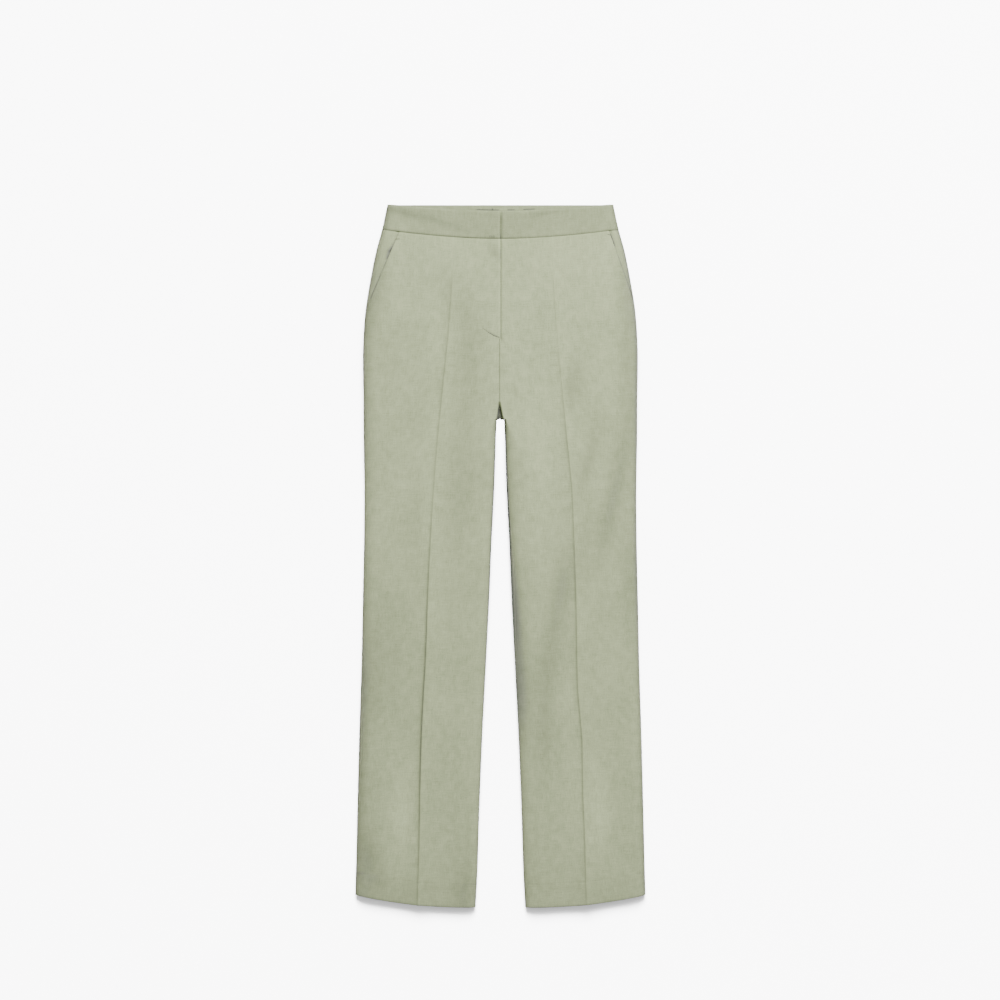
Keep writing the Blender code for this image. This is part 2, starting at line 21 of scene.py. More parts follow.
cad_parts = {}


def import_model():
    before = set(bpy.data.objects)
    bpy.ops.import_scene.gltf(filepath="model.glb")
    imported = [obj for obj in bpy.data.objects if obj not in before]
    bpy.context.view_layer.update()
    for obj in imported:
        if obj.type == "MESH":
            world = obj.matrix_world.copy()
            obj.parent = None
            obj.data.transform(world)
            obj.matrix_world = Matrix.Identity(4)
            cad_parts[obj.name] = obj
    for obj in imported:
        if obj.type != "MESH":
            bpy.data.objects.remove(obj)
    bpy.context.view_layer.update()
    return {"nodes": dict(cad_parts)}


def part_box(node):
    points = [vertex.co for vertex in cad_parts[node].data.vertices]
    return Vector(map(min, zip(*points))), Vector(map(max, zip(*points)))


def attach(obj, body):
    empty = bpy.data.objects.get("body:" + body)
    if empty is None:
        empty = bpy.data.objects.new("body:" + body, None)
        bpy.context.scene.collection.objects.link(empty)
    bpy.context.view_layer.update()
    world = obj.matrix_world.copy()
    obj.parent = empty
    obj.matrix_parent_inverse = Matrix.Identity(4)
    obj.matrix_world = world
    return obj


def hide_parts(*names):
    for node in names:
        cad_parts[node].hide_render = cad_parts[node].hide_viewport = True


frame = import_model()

print("solid pieces:", ", ".join(sorted(frame["nodes"])))

# %% [markdown]
# ## The sizes that drive everything
#
# A pattern cutter works from a few lengths: the outseam, the rise, the waistband. The
# same lengths are named here once, in metres, and everything else is worked out.

# %% Sizes
OUTSEAM = 1.053  # waist edge to the lowest point of the hem
HEM_TURN = 0.035  # depth of the turned-up hem
SEAM_GAP = 0.0003  # between two sewn pieces
EDGE_GAP = 0.0002  # from the seam at a leg's edge to each of its two panels
UNDER = 0.0015  # one layer of cloth and a gap: how deep a tucked piece lies

FORK = 0.3215  # drop of the crotch point
FORK_ROOM = 1.8  # how many times wider the gap at the edge is there
NOTCH = 0.2950  # drop where the two fronts begin to part, above the crotch point
NOTCH_WIDTH = {"right": 0.0050, "left": 0.0032}
NOTCH_DEPTH, NOTCH_FALL, NOTCH_WALL = 0.8, 0.009, 0.0018  # part of the height, end slope, side wall
BACK_WIDTH, BACK_RISE = 0.0043, 0.0245  # where the seat curves up to the crotch point

BAND_SIDE, BAND_MIDDLE = 0.038, 0.052  # drop of the seam under the front waistband
BACK_BAND_SIDE, BACK_BAND_MIDDLE = 0.036, 0.041
BAND_HALF, WAIST_HALF = 0.177, 0.169  # half the width at that seam, and at the top edge
FRONT_DIP, HEM_SLANT = 0.0098, 0.019  # how far the waist and the hem are from level
BAND_LAP, BAND_LIFT, BAND_THICK, HOOK_THICK = 0.032, 0.0007, 0.0024, 0.0012
SEAM_SHIFT = -0.0016  # the seam below the fly runs a little to the right of the middle
FLY_END, FLY_EDGE, FLY_TUCK = 0.1998, -0.0006, 0.0045  # the lap's end and edge, and the cloth under it
LAP_CLEAR = FLY_EDGE + 0.0009  # where the left front comes out from under the lap

SIDES = {"right": -1, "left": 1}  # the wearer's right leg lies at -X
print(f"outseam {OUTSEAM * 1000:.0f} mm, rise {FORK * 1000:.0f} mm")

# %% [markdown]
# ## One table for the shape
#
# Seen from above, the garment is a stack of widths. Each row of the table is one station
# down the leg: how wide it is, where the pressed crease runs, how high the cloth stands
# (`loft`) and how broadly it rolls over at the edge. A smooth curve through the rows
# gives the shape at any drop, which is why sixteen rows are enough. Tables are typed in
# millimetres, as on a cutter's sheet, and turned into metres as they are read.

# %% Stations down the garment
Station = namedtuple("Station", "drop side inseam crease loft roll")


def in_metres(kind, lengths, *rows):
    """Rows of one kind; the first few values of each row are lengths typed in millimetres."""
    return [kind(*(value / 1000 for value in row[:lengths]), *row[lengths:]) for row in rows]


STATIONS = in_metres(
    Station,
    6,
    # drop, side, inseam, crease, loft, roll
    (0, 169.4, 4.2, 72, 15, 10),
    (36, 177.1, 4.2, 72.5, 17.5, 12),
    (70, 186.3, 4.2, 73.5, 20.5, 16),
    (110, 194.2, 4.2, 75.5, 23.5, 19),
    (160, 202.1, 4.2, 79, 26, 21),
    (215, 205.6, 4.2, 84, 26.5, 22),
    (290, 205.1, 4.2, 91.5, 25, 22),
    (350, 204.9, 6.6, 97.5, 22.5, 21),
    (420, 203.8, 9, 103.2, 20, 20),
    (500, 204.3, 13, 108, 18, 19),
    (590, 206.2, 16.7, 111.3, 16.8, 18),
    (690, 208.3, 21.7, 114.2, 15.8, 17.5),
    (800, 211.8, 27.3, 120.3, 15, 17),
    (920, 214.8, 32, 125, 14.4, 16.5),
    (1000, 216.7, 34.5, 127.5, 14, 16),
    (1053, 218.3, 37.3, 129.5, 13.8, 15.5),
)
DROPS = np.array([row.drop for row in STATIONS])
VALUES = np.array(STATIONS)
SLOPES = np.gradient(VALUES, DROPS, axis=0)


def ease(t):
    """0 before t = 0, 1 after t = 1, and smooth in between."""
    t = np.clip(t, 0, 1)
    return t * t * (3 - 2 * t)


def after(value, start, length):
    """0 up to start, then rising smoothly to 1 over a length."""
    return ease((value - start) / length)


def before(value, start, length):
    """1 up to start, then falling smoothly to 0 over a length."""
    return 1 - after(value, start, length)


def bell(t):
    """1 at t = 0, fading to 0 at t = 1 on both sides."""
    return ease(1 - np.abs(t))


def station(drop):
    """The table's row at any drop, on smooth curves through its own rows."""
    drop = np.asarray(drop, float)
    i = np.clip(np.searchsorted(DROPS, drop) - 1, 0, len(DROPS) - 2)
    span = (DROPS[i + 1] - DROPS[i])[..., None]
    t = (drop[..., None] - DROPS[i][..., None]) / span
    inside = np.clip(t, 0, 1)
    mix = 3 * inside**2 - 2 * inside**3
    start_pull = (inside**3 - 2 * inside**2 + inside) * span * SLOPES[i]
    end_pull = (inside**3 - inside**2) * span * SLOPES[i + 1]
    row = VALUES[i] * (1 - mix) + VALUES[i + 1] * mix + start_pull + end_pull
    row = row + np.where(t > 1, SLOPES[i + 1], SLOPES[i]) * (t - inside) * span
    return Station(*np.moveaxis(row, -1, 0))


knee = station(0.62)
print(f"at the knee each leg is {(knee.side - knee.inseam) * 1000:.0f} mm wide")

# %% [markdown]
# ## Creases and folds
#
# A pressed crease is a ridge: steep and narrow at the very fold, broad at its foot. The
# other folds are soft troughs and ridges that lying down and handling leave. They could
# be simulated, but pressed cloth hardly moves, so each is placed as one row of a
# table: where it is, how long and wide, how deep, and how it leans. Its shade is the
# change of tone that goes with it, since a trough gets less of the room's light. Rows
# with no height only shade the cloth.

# %% Pressed creases and soft folds
SEAM_HEIGHT, UNDER_ROLL = 0.42, 0.45  # a side seam's height, and the roll below it, as parts
CREASE_RISE, CREASE_WIDTH = 0.0018, 0.011  # the broad foot of the ridge
CREASE_TOP, CREASE_FULL = 0.095, 0.230  # it fades in between these drops
CREST_STEEP, CREST_GENTLE = 0.0020, 0.0060  # reach of the sharp crest to -X and to +X
SAG = 0.0010  # the cloth sinks this much between crease and edge
EDGE_FALL, EDGE_REACH = 0.0009, 0.012  # and starts to sink before it rolls over an edge
CREST_DROPS = (0.10, 0.12, 0.20, 0.28, 0.35, 0.43, 0.50, 0.58, 0.65, 0.73, 0.80, 0.88, 0.95, OUTSEAM)
CREST_RISES = {  # millimetres at each of those drops
    "right": (0.0, 0.9, 1.3, 1.5, 1.3, 1.1, 1.9, 2.8, 3.6, 4.1, 4.4, 3.6, 2.4, 1.0),
    "left": (0.0, 0.9, 0.3, 0.7, 1.6, 1.4, 1.7, 2.0, 2.0, 2.0, 2.1, 1.9, 1.8, 1.1),
}
CREST_SHIFTS = {  # millimetres towards +X, because no iron follows a line exactly
    "right": (4.0, 4.1, 5.0, 4.5, 4.5, 4.5, 4.2, 3.2, 2.8, 2.0, 2.7, 3.9, 5.2, 5.5),
    "left": (3.7, 3.6, 3.0, 2.2, 2.0, 3.7, 2.2, 2.2, 1.6, 0.0, 2.2, 0.0, 0.7, 0.0),
}

Fold = namedtuple("Fold", "x drop length width height lean shade")
FOLDS = in_metres(
    Fold,
    5,
    # x, drop, length, width, height, lean, shade
    (-100, 26.5, 70, 22, -0.9, 3, -0.14),  # across the waistband
    (-156, 11, 34, 18, -0.3, 3, -0.14),
    (-148, 35, 30, 26, 0.2, 0, 0.12),
    (26, 17, 22, 20, 0.2, 0, 0.07),
    (66, 15, 26, 16, -0.8, -4.2, -0.17),
    (-8.5, 74, 40, 9, -0.6, 0.45, -0.22),  # beside the fly
    (-80, 125, 160, 20, -0.8, 0.1, -0.13),
    (-135, 90, 160, 30, -0.6, 0, -0.07),
    (-186, 125, 220, 18, -0.5, -0.12, -0.24),
    (-98.5, 170, 150, 9, 0.4, -0.09, 0.06),
    (-108, 420, 560, 10, 0.6, -0.05, 0.09),
    (-48, 215, 320, 22, -1.2, -0.05, -0.15),
    (-60, 410, 300, 22, -0.8, -0.05, -0.13),
    (-74, 570, 400, 22, -0.9, -0.07, -0.05),
    (-165, 245, 220, 26, -0.9, 0, -0.1),
    (-202, 420, 240, 8, 0, 0, 0.08),
    (-170, 655, 260, 25, -1.2, -0.02, -0.09),  # down the right leg
    (-188, 700, 260, 14, -0.4, -0.03, -0.13),
    (-160, 705, 200, 13, -0.3, -0.03, -0.09),
    (-205, 705, 420, 10, 0, -0.02, -0.15),
    (-150, 920, 300, 22, 0.9, -0.02, 0.26),
    (-199, 985, 160, 17, -0.6, 0, -0.25),
    (-53, 995, 140, 13, -0.6, 0, -0.04),
    (-56, 1035, 130, 14, -0.3, 0, -0.15),  # above the hem
    (-178, 1006, 80, 12, -0.2, 0, -0.11),
    (-206, 1048, 60, 10, 0, 0, -0.2),
    (22.5, 285, 46, 3.2, -0.9, 0.21, -0.12),  # beside the crotch
    (3.5, 205.5, 14, 1.4, -0.5, 0.52, -0.12),
    (58, 360, 400, 28, 1.2, 0.05, 0.14),  # down the left leg
    (112, 260, 130, 13, -1.2, 0.05, -0.15),
    (130, 387, 170, 10, -1.5, -0.26, -0.22),
    (167, 445, 330, 14, -1.4, -0.21, -0.25),
    (104, 290, 90, 5, -0.4, 0, -0.14),
    (186, 125, 230, 12, -0.5, 0.12, -0.18),
    (192, 260, 400, 18, -1, 0.03, -0.2),
    (195, 555, 400, 14, 0, 0.02, -0.19),
    (123, 510, 160, 13, -0.6, 0, -0.1),
    (95, 560, 130, 18, -0.6, 0, -0.1),
    (83, 620, 300, 17, -1.8, -0.16, -0.22),
    (26, 650, 270, 13, -0.8, 0.05, -0.26),
    (18.5, 590, 220, 8, 0, 0.05, -0.34),
    (30.5, 745, 200, 13, -0.4, 0.05, -0.3),
    (64, 770, 280, 18, -1, -0.04, -0.21),
    (100, 740, 160, 14, 0.6, 0.03, 0.08),
    (108, 880, 260, 14, 0.5, 0.06, 0.14),
    (148, 910, 280, 22, 0.9, 0.02, 0.2),
)

BACK_FOLDS = in_metres(  # where a back doesn't quite touch the surface
    Fold,
    5,
    # x, drop, length, width, height, lean, shade
    (-90, 150, 190, 12, 1.1, 0.3, -0.05),  # over the seat
    (-145, 215, 170, 16, 0.8, 0.1, -0.03),
    (70, 175, 220, 14, 1, -0.35, -0.05),
    (138, 130, 150, 13, 0.7, -0.1, -0.03),
    (-55, 365, 120, 10, 1.3, -0.75, -0.07),  # fanning out from the crotch
    (-82, 445, 160, 12, 0.9, -0.45, -0.04),
    (60, 375, 150, 11, 1.2, 0.65, -0.07),
    (130, 460, 180, 14, 0.8, 0.12, -0.03),
    (-80, 605, 90, 16, 1.2, 1.4, -0.06),  # behind the knees
    (-150, 655, 110, 12, 0.9, -0.9, -0.05),
    (85, 625, 100, 15, 1.1, -1.2, -0.06),
    (160, 590, 120, 13, 0.8, 0.6, -0.04),
    (-65, 810, 300, 14, 0.8, -0.05, -0.03),  # down the calves
    (-175, 870, 240, 12, 0.9, -0.03, -0.04),
    (75, 890, 280, 13, 0.9, 0.06, -0.04),
    (170, 800, 260, 15, 0.7, 0.02, -0.03),
)


def streak(distance, width):
    """1 along a line, fading to nothing at about twice width."""
    return np.exp(-((distance / width) ** 2))


def folds(x, drop, table=FOLDS):
    """Height that the soft folds add, and how much they shade the cloth."""
    height = shade = 0.0
    for fold in table:
        along = (drop - fold.drop) / (fold.length / 2)
        across = (x - fold.x - fold.lean * (drop - fold.drop)) / fold.width
        form = bell(along) * streak(across, 1)
        height, shade = height + fold.height * form, shade + fold.shade * form
    return height, shade


Ripple = namedtuple("Ripple", "amount wide long seed")
RIPPLES = {  # amount is a height or a part of the tone, wide and long are a patch's size
    "front": Ripple(0.00045, 0.045, 0.110, 1.7),
    "front, fine": Ripple(0.00016, 0.014, 0.030, 5.1),
    "front, tone": Ripple(0.45, 0.006, 0.011, 8.2),
    "band seam": Ripple(0.00022, 0.009, 0.030, 2.2),
    "middle seam": Ripple(0.00020, 0.020, 0.007, 4.4),
    "hem stitches": Ripple(1.0, 0.005, 0.050, 3.3),
    "hem stitches, tone": Ripple(0.12, 0.006, 0.050, 3.3),
    "right back": Ripple(0.00012, 0.030, 0.060, 6.7),
    "left back": Ripple(0.00012, 0.030, 0.060, 8.7),
    "pocket mouth, tone": Ripple(0.40, 0.020, 0.006, 6.3),
    "waistband": Ripple(0.00025, 0.030, 0.020, 9.1),
    "facing": Ripple(0.00015, 0.050, 0.020, 3.0),
}


def ripple(x, drop, kind):
    """Smooth unevenness of one kind, up to its amount each way."""
    amount, wide, long, seed = RIPPLES[kind]
    spots = zip(np.ravel(x) / wide, np.ravel(drop) / long)
    values = [noise.noise(Vector((a, b, seed))) for a, b in spots]
    return amount * np.reshape(values, np.shape(x))


def crease_line(leg, drop):
    """Distance from the middle of a leg's pressed crease."""
    shift = np.interp(drop, CREST_DROPS, CREST_SHIFTS[leg]) / 1000
    return station(drop).crease + SIDES[leg] * shift


def crest_rise(leg, drop):
    """How far the sharp crest of the crease stands up."""
    return np.interp(drop, CREST_DROPS, CREST_RISES[leg]) / 1000


def top_height(leg, out, drop):
    """Height of the front half's outer face; out is the distance from the middle."""
    row = station(drop)
    crease = crease_line(leg, drop)
    pressed = after(drop, CREASE_TOP, CREASE_FULL - CREASE_TOP)
    from_crease = np.abs(out - crease)
    ridge = CREASE_RISE * np.exp(-from_crease / CREASE_WIDTH)
    past = SIDES[leg] * (out - crease) > 0
    crest = crest_rise(leg, drop) * np.exp(-from_crease / np.where(past, CREST_GENTLE, CREST_STEEP))
    on_leg = after(drop, FORK - 0.05, 0.1)
    inner = (row.inseam + row.roll) * on_leg
    half = np.where(out < crease, crease - inner, row.side - row.roll - crease)
    sink = SAG * np.sin(np.pi * np.minimum(1.0, from_crease / half)) ** 2
    fall = np.exp((out - row.side) / EDGE_REACH) + on_leg * np.exp((row.inseam - out) / EDGE_REACH)
    height = row.loft + pressed * (ridge - sink) + crest - EDGE_FALL * fall
    return height + folds(SIDES[leg] * out, drop)[0]


print(f"{len(FOLDS)} soft folds, deepest {-min(fold.height for fold in FOLDS) * 1000:.1f} mm")

# %% [markdown]
# ## Where the edges roll over
#
# A leg that lies flat is a tube pressed thin. The front bulges up and rolls down to the
# side seam and the inseam, and the back rises to meet it. Each roll is a quarter of an
# ellipse. On two edges the seam has crept upwards, so the back shows a little.

# %% The front half
SEAM_TURN = 10.0  # degrees that a seam sits above the widest point of its edge
Turn = namedtuple("Turn", "extra middle reach")
TURNS = {  # where it has crept up: degrees more, the drop of the most, and how far it reaches
    ("right", "side"): Turn(34.0, 0.820, 0.300),
    ("left", "inseam"): Turn(36.0, 0.560, 0.300),
}
ROLL_SHARE, LOWER_ROLL_SHARE, MIDDLE = 0.2, 0.3, 0.5  # share that a roll takes up, and the crease's
FLOOR_PART, WRAP_PART = 0.2, 0.25  # part of a roll that is the notch's floor, or above the edge


def seam_turn(leg, edge, drop, shift=0.0):
    """How far up round an edge its seam sits, in radians; shift is a length round the edge."""
    turn = TURNS.get((leg, edge), Turn(0.0, 0.0, 1.0))
    angle = np.radians(SEAM_TURN + turn.extra * bell((drop - turn.middle) / turn.reach))
    row = station(drop)
    high = row.loft * (1 - SEAM_HEIGHT)
    if edge == "inseam":
        shift = shift * (1 + (FORK_ROOM - 1) * bell((drop - FORK) / 0.010))
    return angle + shift / np.hypot(row.roll * np.sin(angle), high * np.cos(angle))


def fork_height(leg, shift):
    """Height of the crotch point, for a panel that ends shift away from it."""
    loft = float(station(FORK).loft)
    low = loft * SEAM_HEIGHT
    return low + (loft - low) * math.sin(seam_turn(leg, "inseam", FORK, shift))


def middle_line(leg, drop):
    """Distance from the middle of a front's inner edge, above the crotch."""
    if leg == "right":
        in_fly = before(drop, FLY_END, 0.003)
        x = SEAM_SHIFT + (FLY_EDGE - SEAM_SHIFT) * in_fly
        return -x + np.where(in_fly > 0, 0.0, SEAM_GAP / 2)
    in_fly = before(drop, FLY_END - 0.006, 0.005)
    x = SEAM_SHIFT + SEAM_GAP / 2
    return x + (FLY_EDGE - FLY_TUCK - x) * in_fly


def past_fork(drop):
    """0 above the fork, where the two halves meet, and 1 below it, where the legs begin."""
    return after(drop, FORK - 0.0002, 0.0012)


def inner_lines(leg, drop):
    """Where a front starts beside the middle, and where its notch's floor ends."""
    row = station(drop)
    start = middle_line(leg, drop)
    opened = np.clip((drop - NOTCH) / (FORK - NOTCH), 0, 1)
    begin = np.maximum(start + (NOTCH_WIDTH[leg] - start) * opened, start + 0.001)
    if leg == "left":
        begin = np.where(drop < FLY_END + 0.006, np.maximum(begin, LAP_CLEAR), begin)
    split = past_fork(drop)
    edge = row.inseam + row.roll * (1 - np.cos(seam_turn(leg, "inseam", drop, EDGE_GAP)))
    return start + (edge - start) * split, begin + (edge - begin) * split, opened


def inner_height(leg, out, drop):
    """Height beside the middle: the notch that opens above the crotch, then the leg's roll."""
    row = station(drop)
    begin = inner_lines(leg, drop)[1]
    sunk = NOTCH_DEPTH * ease((drop - NOTCH) / (FORK - NOTCH_FALL - NOTCH)) ** 0.6
    fall = np.clip((drop - FORK + NOTCH_FALL) / NOTCH_FALL, 0, 1)
    sunk = sunk + (1 - NOTCH_DEPTH) * (1 - np.sqrt(1 - fall * fall))
    top = top_height(leg, out, drop)
    base = top + (row.loft * SEAM_HEIGHT - top) * sunk
    wall = NOTCH_WALL + (row.roll - NOTCH_WALL) * after(drop, FORK - 0.008, 0.060)
    split = past_fork(drop)
    foot = begin - split * wall * (1 - np.cos(seam_turn(leg, "inseam", drop, EDGE_GAP)))
    up = 1 - np.clip((np.maximum(out, begin) - foot) / wall, 0, 1)
    return top - (top - base) * (1 - np.sqrt(1 - up * up))


def inner_edge(leg, part, drop):
    """A point between a front's inner edge, at part = 0, and the flat of the leg."""
    row = station(drop)
    start, begin, _ = inner_lines(leg, drop)
    end = row.inseam + row.roll
    floor = FLOOR_PART * (1 - past_fork(drop))  # below the fork, the roll takes up every column
    angle = np.pi / 2 * np.clip((part - floor) / (1 - floor), 0, 1)
    out = begin + (end - begin) * (1 - np.cos(angle))
    out = np.where(part < floor, start + (begin - start) * part / np.maximum(floor, 1e-6), out)
    return out, inner_height(leg, out, drop)


def upper(leg, share, drop, depth=0.0):
    """A point of the front half: distance from the middle, and height."""
    row = station(drop)
    low = row.loft * SEAM_HEIGHT
    turn = seam_turn(leg, "side", drop, EDGE_GAP)
    angle = turn + (np.pi / 2 - turn) * np.clip((1 - share) / ROLL_SHARE, 0, 1)
    side_out = row.side - depth - (row.roll - depth) * (1 - np.cos(angle))
    side_high = low + (top_height(leg, side_out, drop) - depth - low) * np.sin(angle)
    half = (share - MIDDLE) / (MIDDLE - ROLL_SHARE)
    crease = crease_line(leg, drop)
    inner_reach, outer_reach = crease - row.inseam - row.roll, row.side - row.roll - crease
    flat_out = crease + np.where(half < 0, inner_reach, outer_reach) * half
    flat_high = top_height(leg, flat_out, drop) - depth
    inner_out, inner_high = inner_edge(leg, np.clip(share / ROLL_SHARE, 0, 1), drop)
    zones = [share > 1 - ROLL_SHARE, share >= ROLL_SHARE]
    height = np.select(zones, [side_high, flat_high], inner_high - depth)
    return np.select(zones, [side_out, flat_out], inner_out), height


middle_of_leg = upper("left", np.array([0.5]), np.array([0.6]))
print("on the left crease:", [round(float(v[0]) * 1000, 1) for v in middle_of_leg], "mm")


# %% The back half
def lower_edge(leg, edge, part, drop):
    """Round an edge from its seam past the widest point to the floor."""
    row = station(drop)
    low, under = row.loft * SEAM_HEIGHT, row.roll * UNDER_ROLL
    turned = seam_turn(leg, edge, drop, -EDGE_GAP) * np.clip(1 - part / WRAP_PART, 0, 1)
    back = row.roll * (1 - np.cos(turned))
    at = row.side - back if edge == "side" else row.inseam + back
    high = low + (top_height(leg, at, drop) - low) * np.sin(turned)
    angle = np.pi / 2 * np.clip((part - WRAP_PART) / (1 - WRAP_PART), 0, 1)
    above = part < WRAP_PART
    return (
        np.where(above, back, under * (1 - np.cos(angle))),
        np.where(above, high, low * (1 - np.sin(angle))),
    )


def seat_middle(leg, part, drop):
    """The seat from the back seam outwards, curving up to the crotch point."""
    row = station(drop)
    rise = np.clip((drop - FORK + BACK_RISE) / BACK_RISE, 0, 1)
    height = fork_height(leg, -EDGE_GAP) * (1 - np.sqrt(1 - rise * rise))
    start = SEAM_GAP / 2
    floor_end = start + (BACK_WIDTH - start) * np.maximum(rise, 0.3)
    angle = np.pi / 2 * np.clip((part - WRAP_PART) / (1 - WRAP_PART), 0, 1)
    end = row.inseam + row.roll * UNDER_ROLL
    out = floor_end + (end - floor_end) * (1 - np.cos(angle))
    near = part < WRAP_PART
    out = np.where(near, start + (floor_end - start) * part / WRAP_PART, out)
    return out, np.where(near, height, height * (1 - np.sin(angle)))


def lower(leg, share, drop):
    """A point of the back half, which lies flat between its edges."""
    row = station(drop)
    under = row.roll * UNDER_ROLL
    side_part = np.clip((1 - share) / LOWER_ROLL_SHARE, 0, 1)
    side_in, side_high = lower_edge(leg, "side", side_part, drop)
    along = (share - LOWER_ROLL_SHARE) / (1 - 2 * LOWER_ROLL_SHARE)
    flat_out = row.inseam + under + (row.side - row.inseam - 2 * under) * along
    part = np.clip(share / LOWER_ROLL_SHARE, 0, 1)
    leg_in, leg_high = lower_edge(leg, "inseam", part, drop)
    seat_out, seat_high = seat_middle(leg, part, drop)
    split = past_fork(drop)
    inner_out = seat_out + (row.inseam + leg_in - seat_out) * split
    inner_high = seat_high + (leg_high - seat_high) * split
    zones = [share > 1 - LOWER_ROLL_SHARE, share >= LOWER_ROLL_SHARE]
    height = np.select(zones, [side_high, np.zeros(np.shape(drop))], inner_high)
    return np.select(zones, [row.side - side_in, flat_out], inner_out), height


# %% [markdown]
# ## Where the panels are cut
#
# The waistband's seam sags in the middle, the hem is cut shorter at the side, and the
# pocket mouth slants away from the waistband. These curves bend the rows of a panel, so
# its grid runs along its real edges and no edge is a staircase.


# %% Cutting lines
BEND_BELOW_SEAM, BEND_ABOVE_HEM = 0.080, 0.060  # over these lengths the rows straighten out


def sagging(out, half, middle, side, power):
    """Drop of a line that sags from two sides, half away from the middle."""
    return middle - (middle - side) * np.minimum(1.0, np.abs(out) / half) ** power


# the seams under the front and the back waistband, and the front waistband's top edge
band_seam = partial(sagging, half=BAND_HALF, middle=BAND_MIDDLE, side=BAND_SIDE, power=1.8)
back_band_seam = partial(sagging, half=BAND_HALF, middle=BACK_BAND_MIDDLE, side=BACK_BAND_SIDE, power=2)
waist_edge = partial(sagging, half=WAIST_HALF, middle=FRONT_DIP, side=0.0, power=1.6)


def hem_edge(out):
    """How far above its lowest point the hem is."""
    row = STATIONS[-1]
    return HEM_SLANT * np.clip((out - row.inseam) / (row.side - row.inseam), 0, 1) ** 2.2


def panel_drop(out, level, seam):
    """Drop of a panel's row: level runs from its waist seam to the hem."""
    middle = seam(0.0)
    to_seam = before(level, middle, BEND_BELOW_SEAM)
    to_hem = before(OUTSEAM - level, 0.0, BEND_ABOVE_HEM)
    drop = level + (seam(out) - middle) * to_seam - hem_edge(out) * to_hem
    return drop + SEAM_GAP / 2 * (level <= middle)


# gape is how much wider the painted shadow under the mouth is at the drop gape_at; it starts gape_from
# below the waistband's seam
Mouth = namedtuple("Mouth", "top_x top_drop end_drop gape gape_at gape_from")
MOUTHS = {
    "right": Mouth(0.1510, 0.041, 0.161, 0.0034, 0.071, 0.009),
    "left": Mouth(0.1620, 0.040, 0.149, 0.0010, 0.054, 0.001),
}
POCKET_DEPTH, POCKET_UNDER, POCKET_BLEND = 0.0021, 0.020, 0.014  # of the piece below the mouth


def mouth_out(leg, drop):
    """Distance of the pocket mouth's edge from the middle."""
    mouth = MOUTHS[leg]
    end_out = upper(leg, np.array([1.0]), np.array([mouth.end_drop]))[0][0]
    along = (drop - mouth.top_drop) / (mouth.end_drop - mouth.top_drop)
    return mouth.top_x + (end_out - mouth.top_x) * along


def share_at(leg, out, drop, lowest=MIDDLE):
    """The share, from lowest up, at which the front half is this far from the middle."""
    low, high = np.full(np.shape(drop), lowest), np.ones(np.shape(drop))
    for _ in range(18):  # each round halves the stretch that the share lies in
        half = (low + high) / 2
        short = upper(leg, half, drop)[0] < out
        low, high = np.where(short, half, low), np.where(short, high, half)
    return low


def mouth_share(leg, drop):
    """Share of a front's outer edge: the pocket mouth, then the side seam."""
    levels = np.linspace(0.030, MOUTHS[leg].end_drop, 60)
    shares = share_at(leg, mouth_out(leg, levels), levels)
    shares[-1] = 1.0
    return np.interp(drop, levels, shares)


def runs(*stretches):
    """Grid lines from (end, steps) stretches; the first entry is only the start."""
    lines = [stretches[0]]
    for end, steps in stretches[1:]:
        start = lines[-1]
        lines += [start + (end - start) * k / steps for k in range(1, steps + 1)]
    return np.array(lines)


print(f"pocket mouths {[round(m.end_drop - m.top_drop, 3) for m in MOUTHS.values()]} m long")

# %% [markdown]
# ## Linen that reads as linen
#
# Linen yarn is uneven: thick places, called slubs, run along single threads both ways.
# Two noises stretched along the warp and the weft draw them, a finer noise mixes light
# and dark fibres, and two broad ones let the dye vary. The weave itself is far too small
# to model, so it is bump: warp and weft ribs that take turns on top. All of it reads the
# UV map, which is in metres along each panel's own threads.
#
# The cloth's colour also carries painted shade in its seams and recesses and along edges
# that roll away, and painted highlights along pressed edges. Each panel carries that as an
# attribute named tone: 0.1 is a tenth lighter, -0.1 darker. A Hue/Saturation node turns it
# into brightness, and takes colour out of the darkest lines.

# %% Cloth material
THREAD = 0.00058  # spacing of the yarns
SAGE_LIGHT, SAGE_DARK = (0.508, 0.571, 0.331), (0.322, 0.372, 0.206)
Grain = namedtuple("Grain", "across along detail roughness weight")
GRAINS = {  # size of a patch across and along the panel, in metres, and its part in the colour
    "warp": Grain(0.0009, 0.016, 2.0, 0.5, 0.9),
    "weft": Grain(0.018, 0.0009, 2.0, 0.5, 0.9),
    "fibre": Grain(0.0016, 0.0020, 4.0, 0.65, 1.1),
    "patch": Grain(0.010, 0.014, 3.0, 0.5, 0.8),
    "dye": Grain(0.060, 0.085, 2.0, 0.5, 0.6),
}


def feed(tree, socket, value):
    """Joins an input to another node's output, or gives it a plain value."""
    if isinstance(value, bpy.types.NodeSocket):
        tree.links.new(value, socket)
    else:
        socket.default_value = value


def set_up(tree, made, **settings):
    """Sets a node's properties and its named inputs."""
    for name, value in settings.items():
        if hasattr(made, name):
            setattr(made, name, value)
        else:
            feed(tree, made.inputs[name.replace("_", " ")], value)


def node(tree, kind, **settings):
    """Adds a shader node to the right of the last one."""
    made = tree.nodes.new(kind)
    made.location.x = 200 * len(tree.nodes)
    set_up(tree, made, **settings)
    return made


def math_node(tree, operation, *values):
    """One number from others, each a socket or a plain value."""
    made = node(tree, "ShaderNodeMath", operation=operation)
    for socket, value in zip(made.inputs, values):
        feed(tree, socket, value)
    return made.outputs["Value"]


def colour_ramp(tree, factor, low, high, start=0.0, end=1.0):
    """A colour between two, as the factor goes from start to end."""
    ramp = node(tree, "ShaderNodeValToRGB", Fac=factor)
    for element, position, colour in zip(ramp.color_ramp.elements, (start, end), (low, high)):
        element.position, element.color = position, (*colour, 1.0)
    return ramp.outputs["Color"]


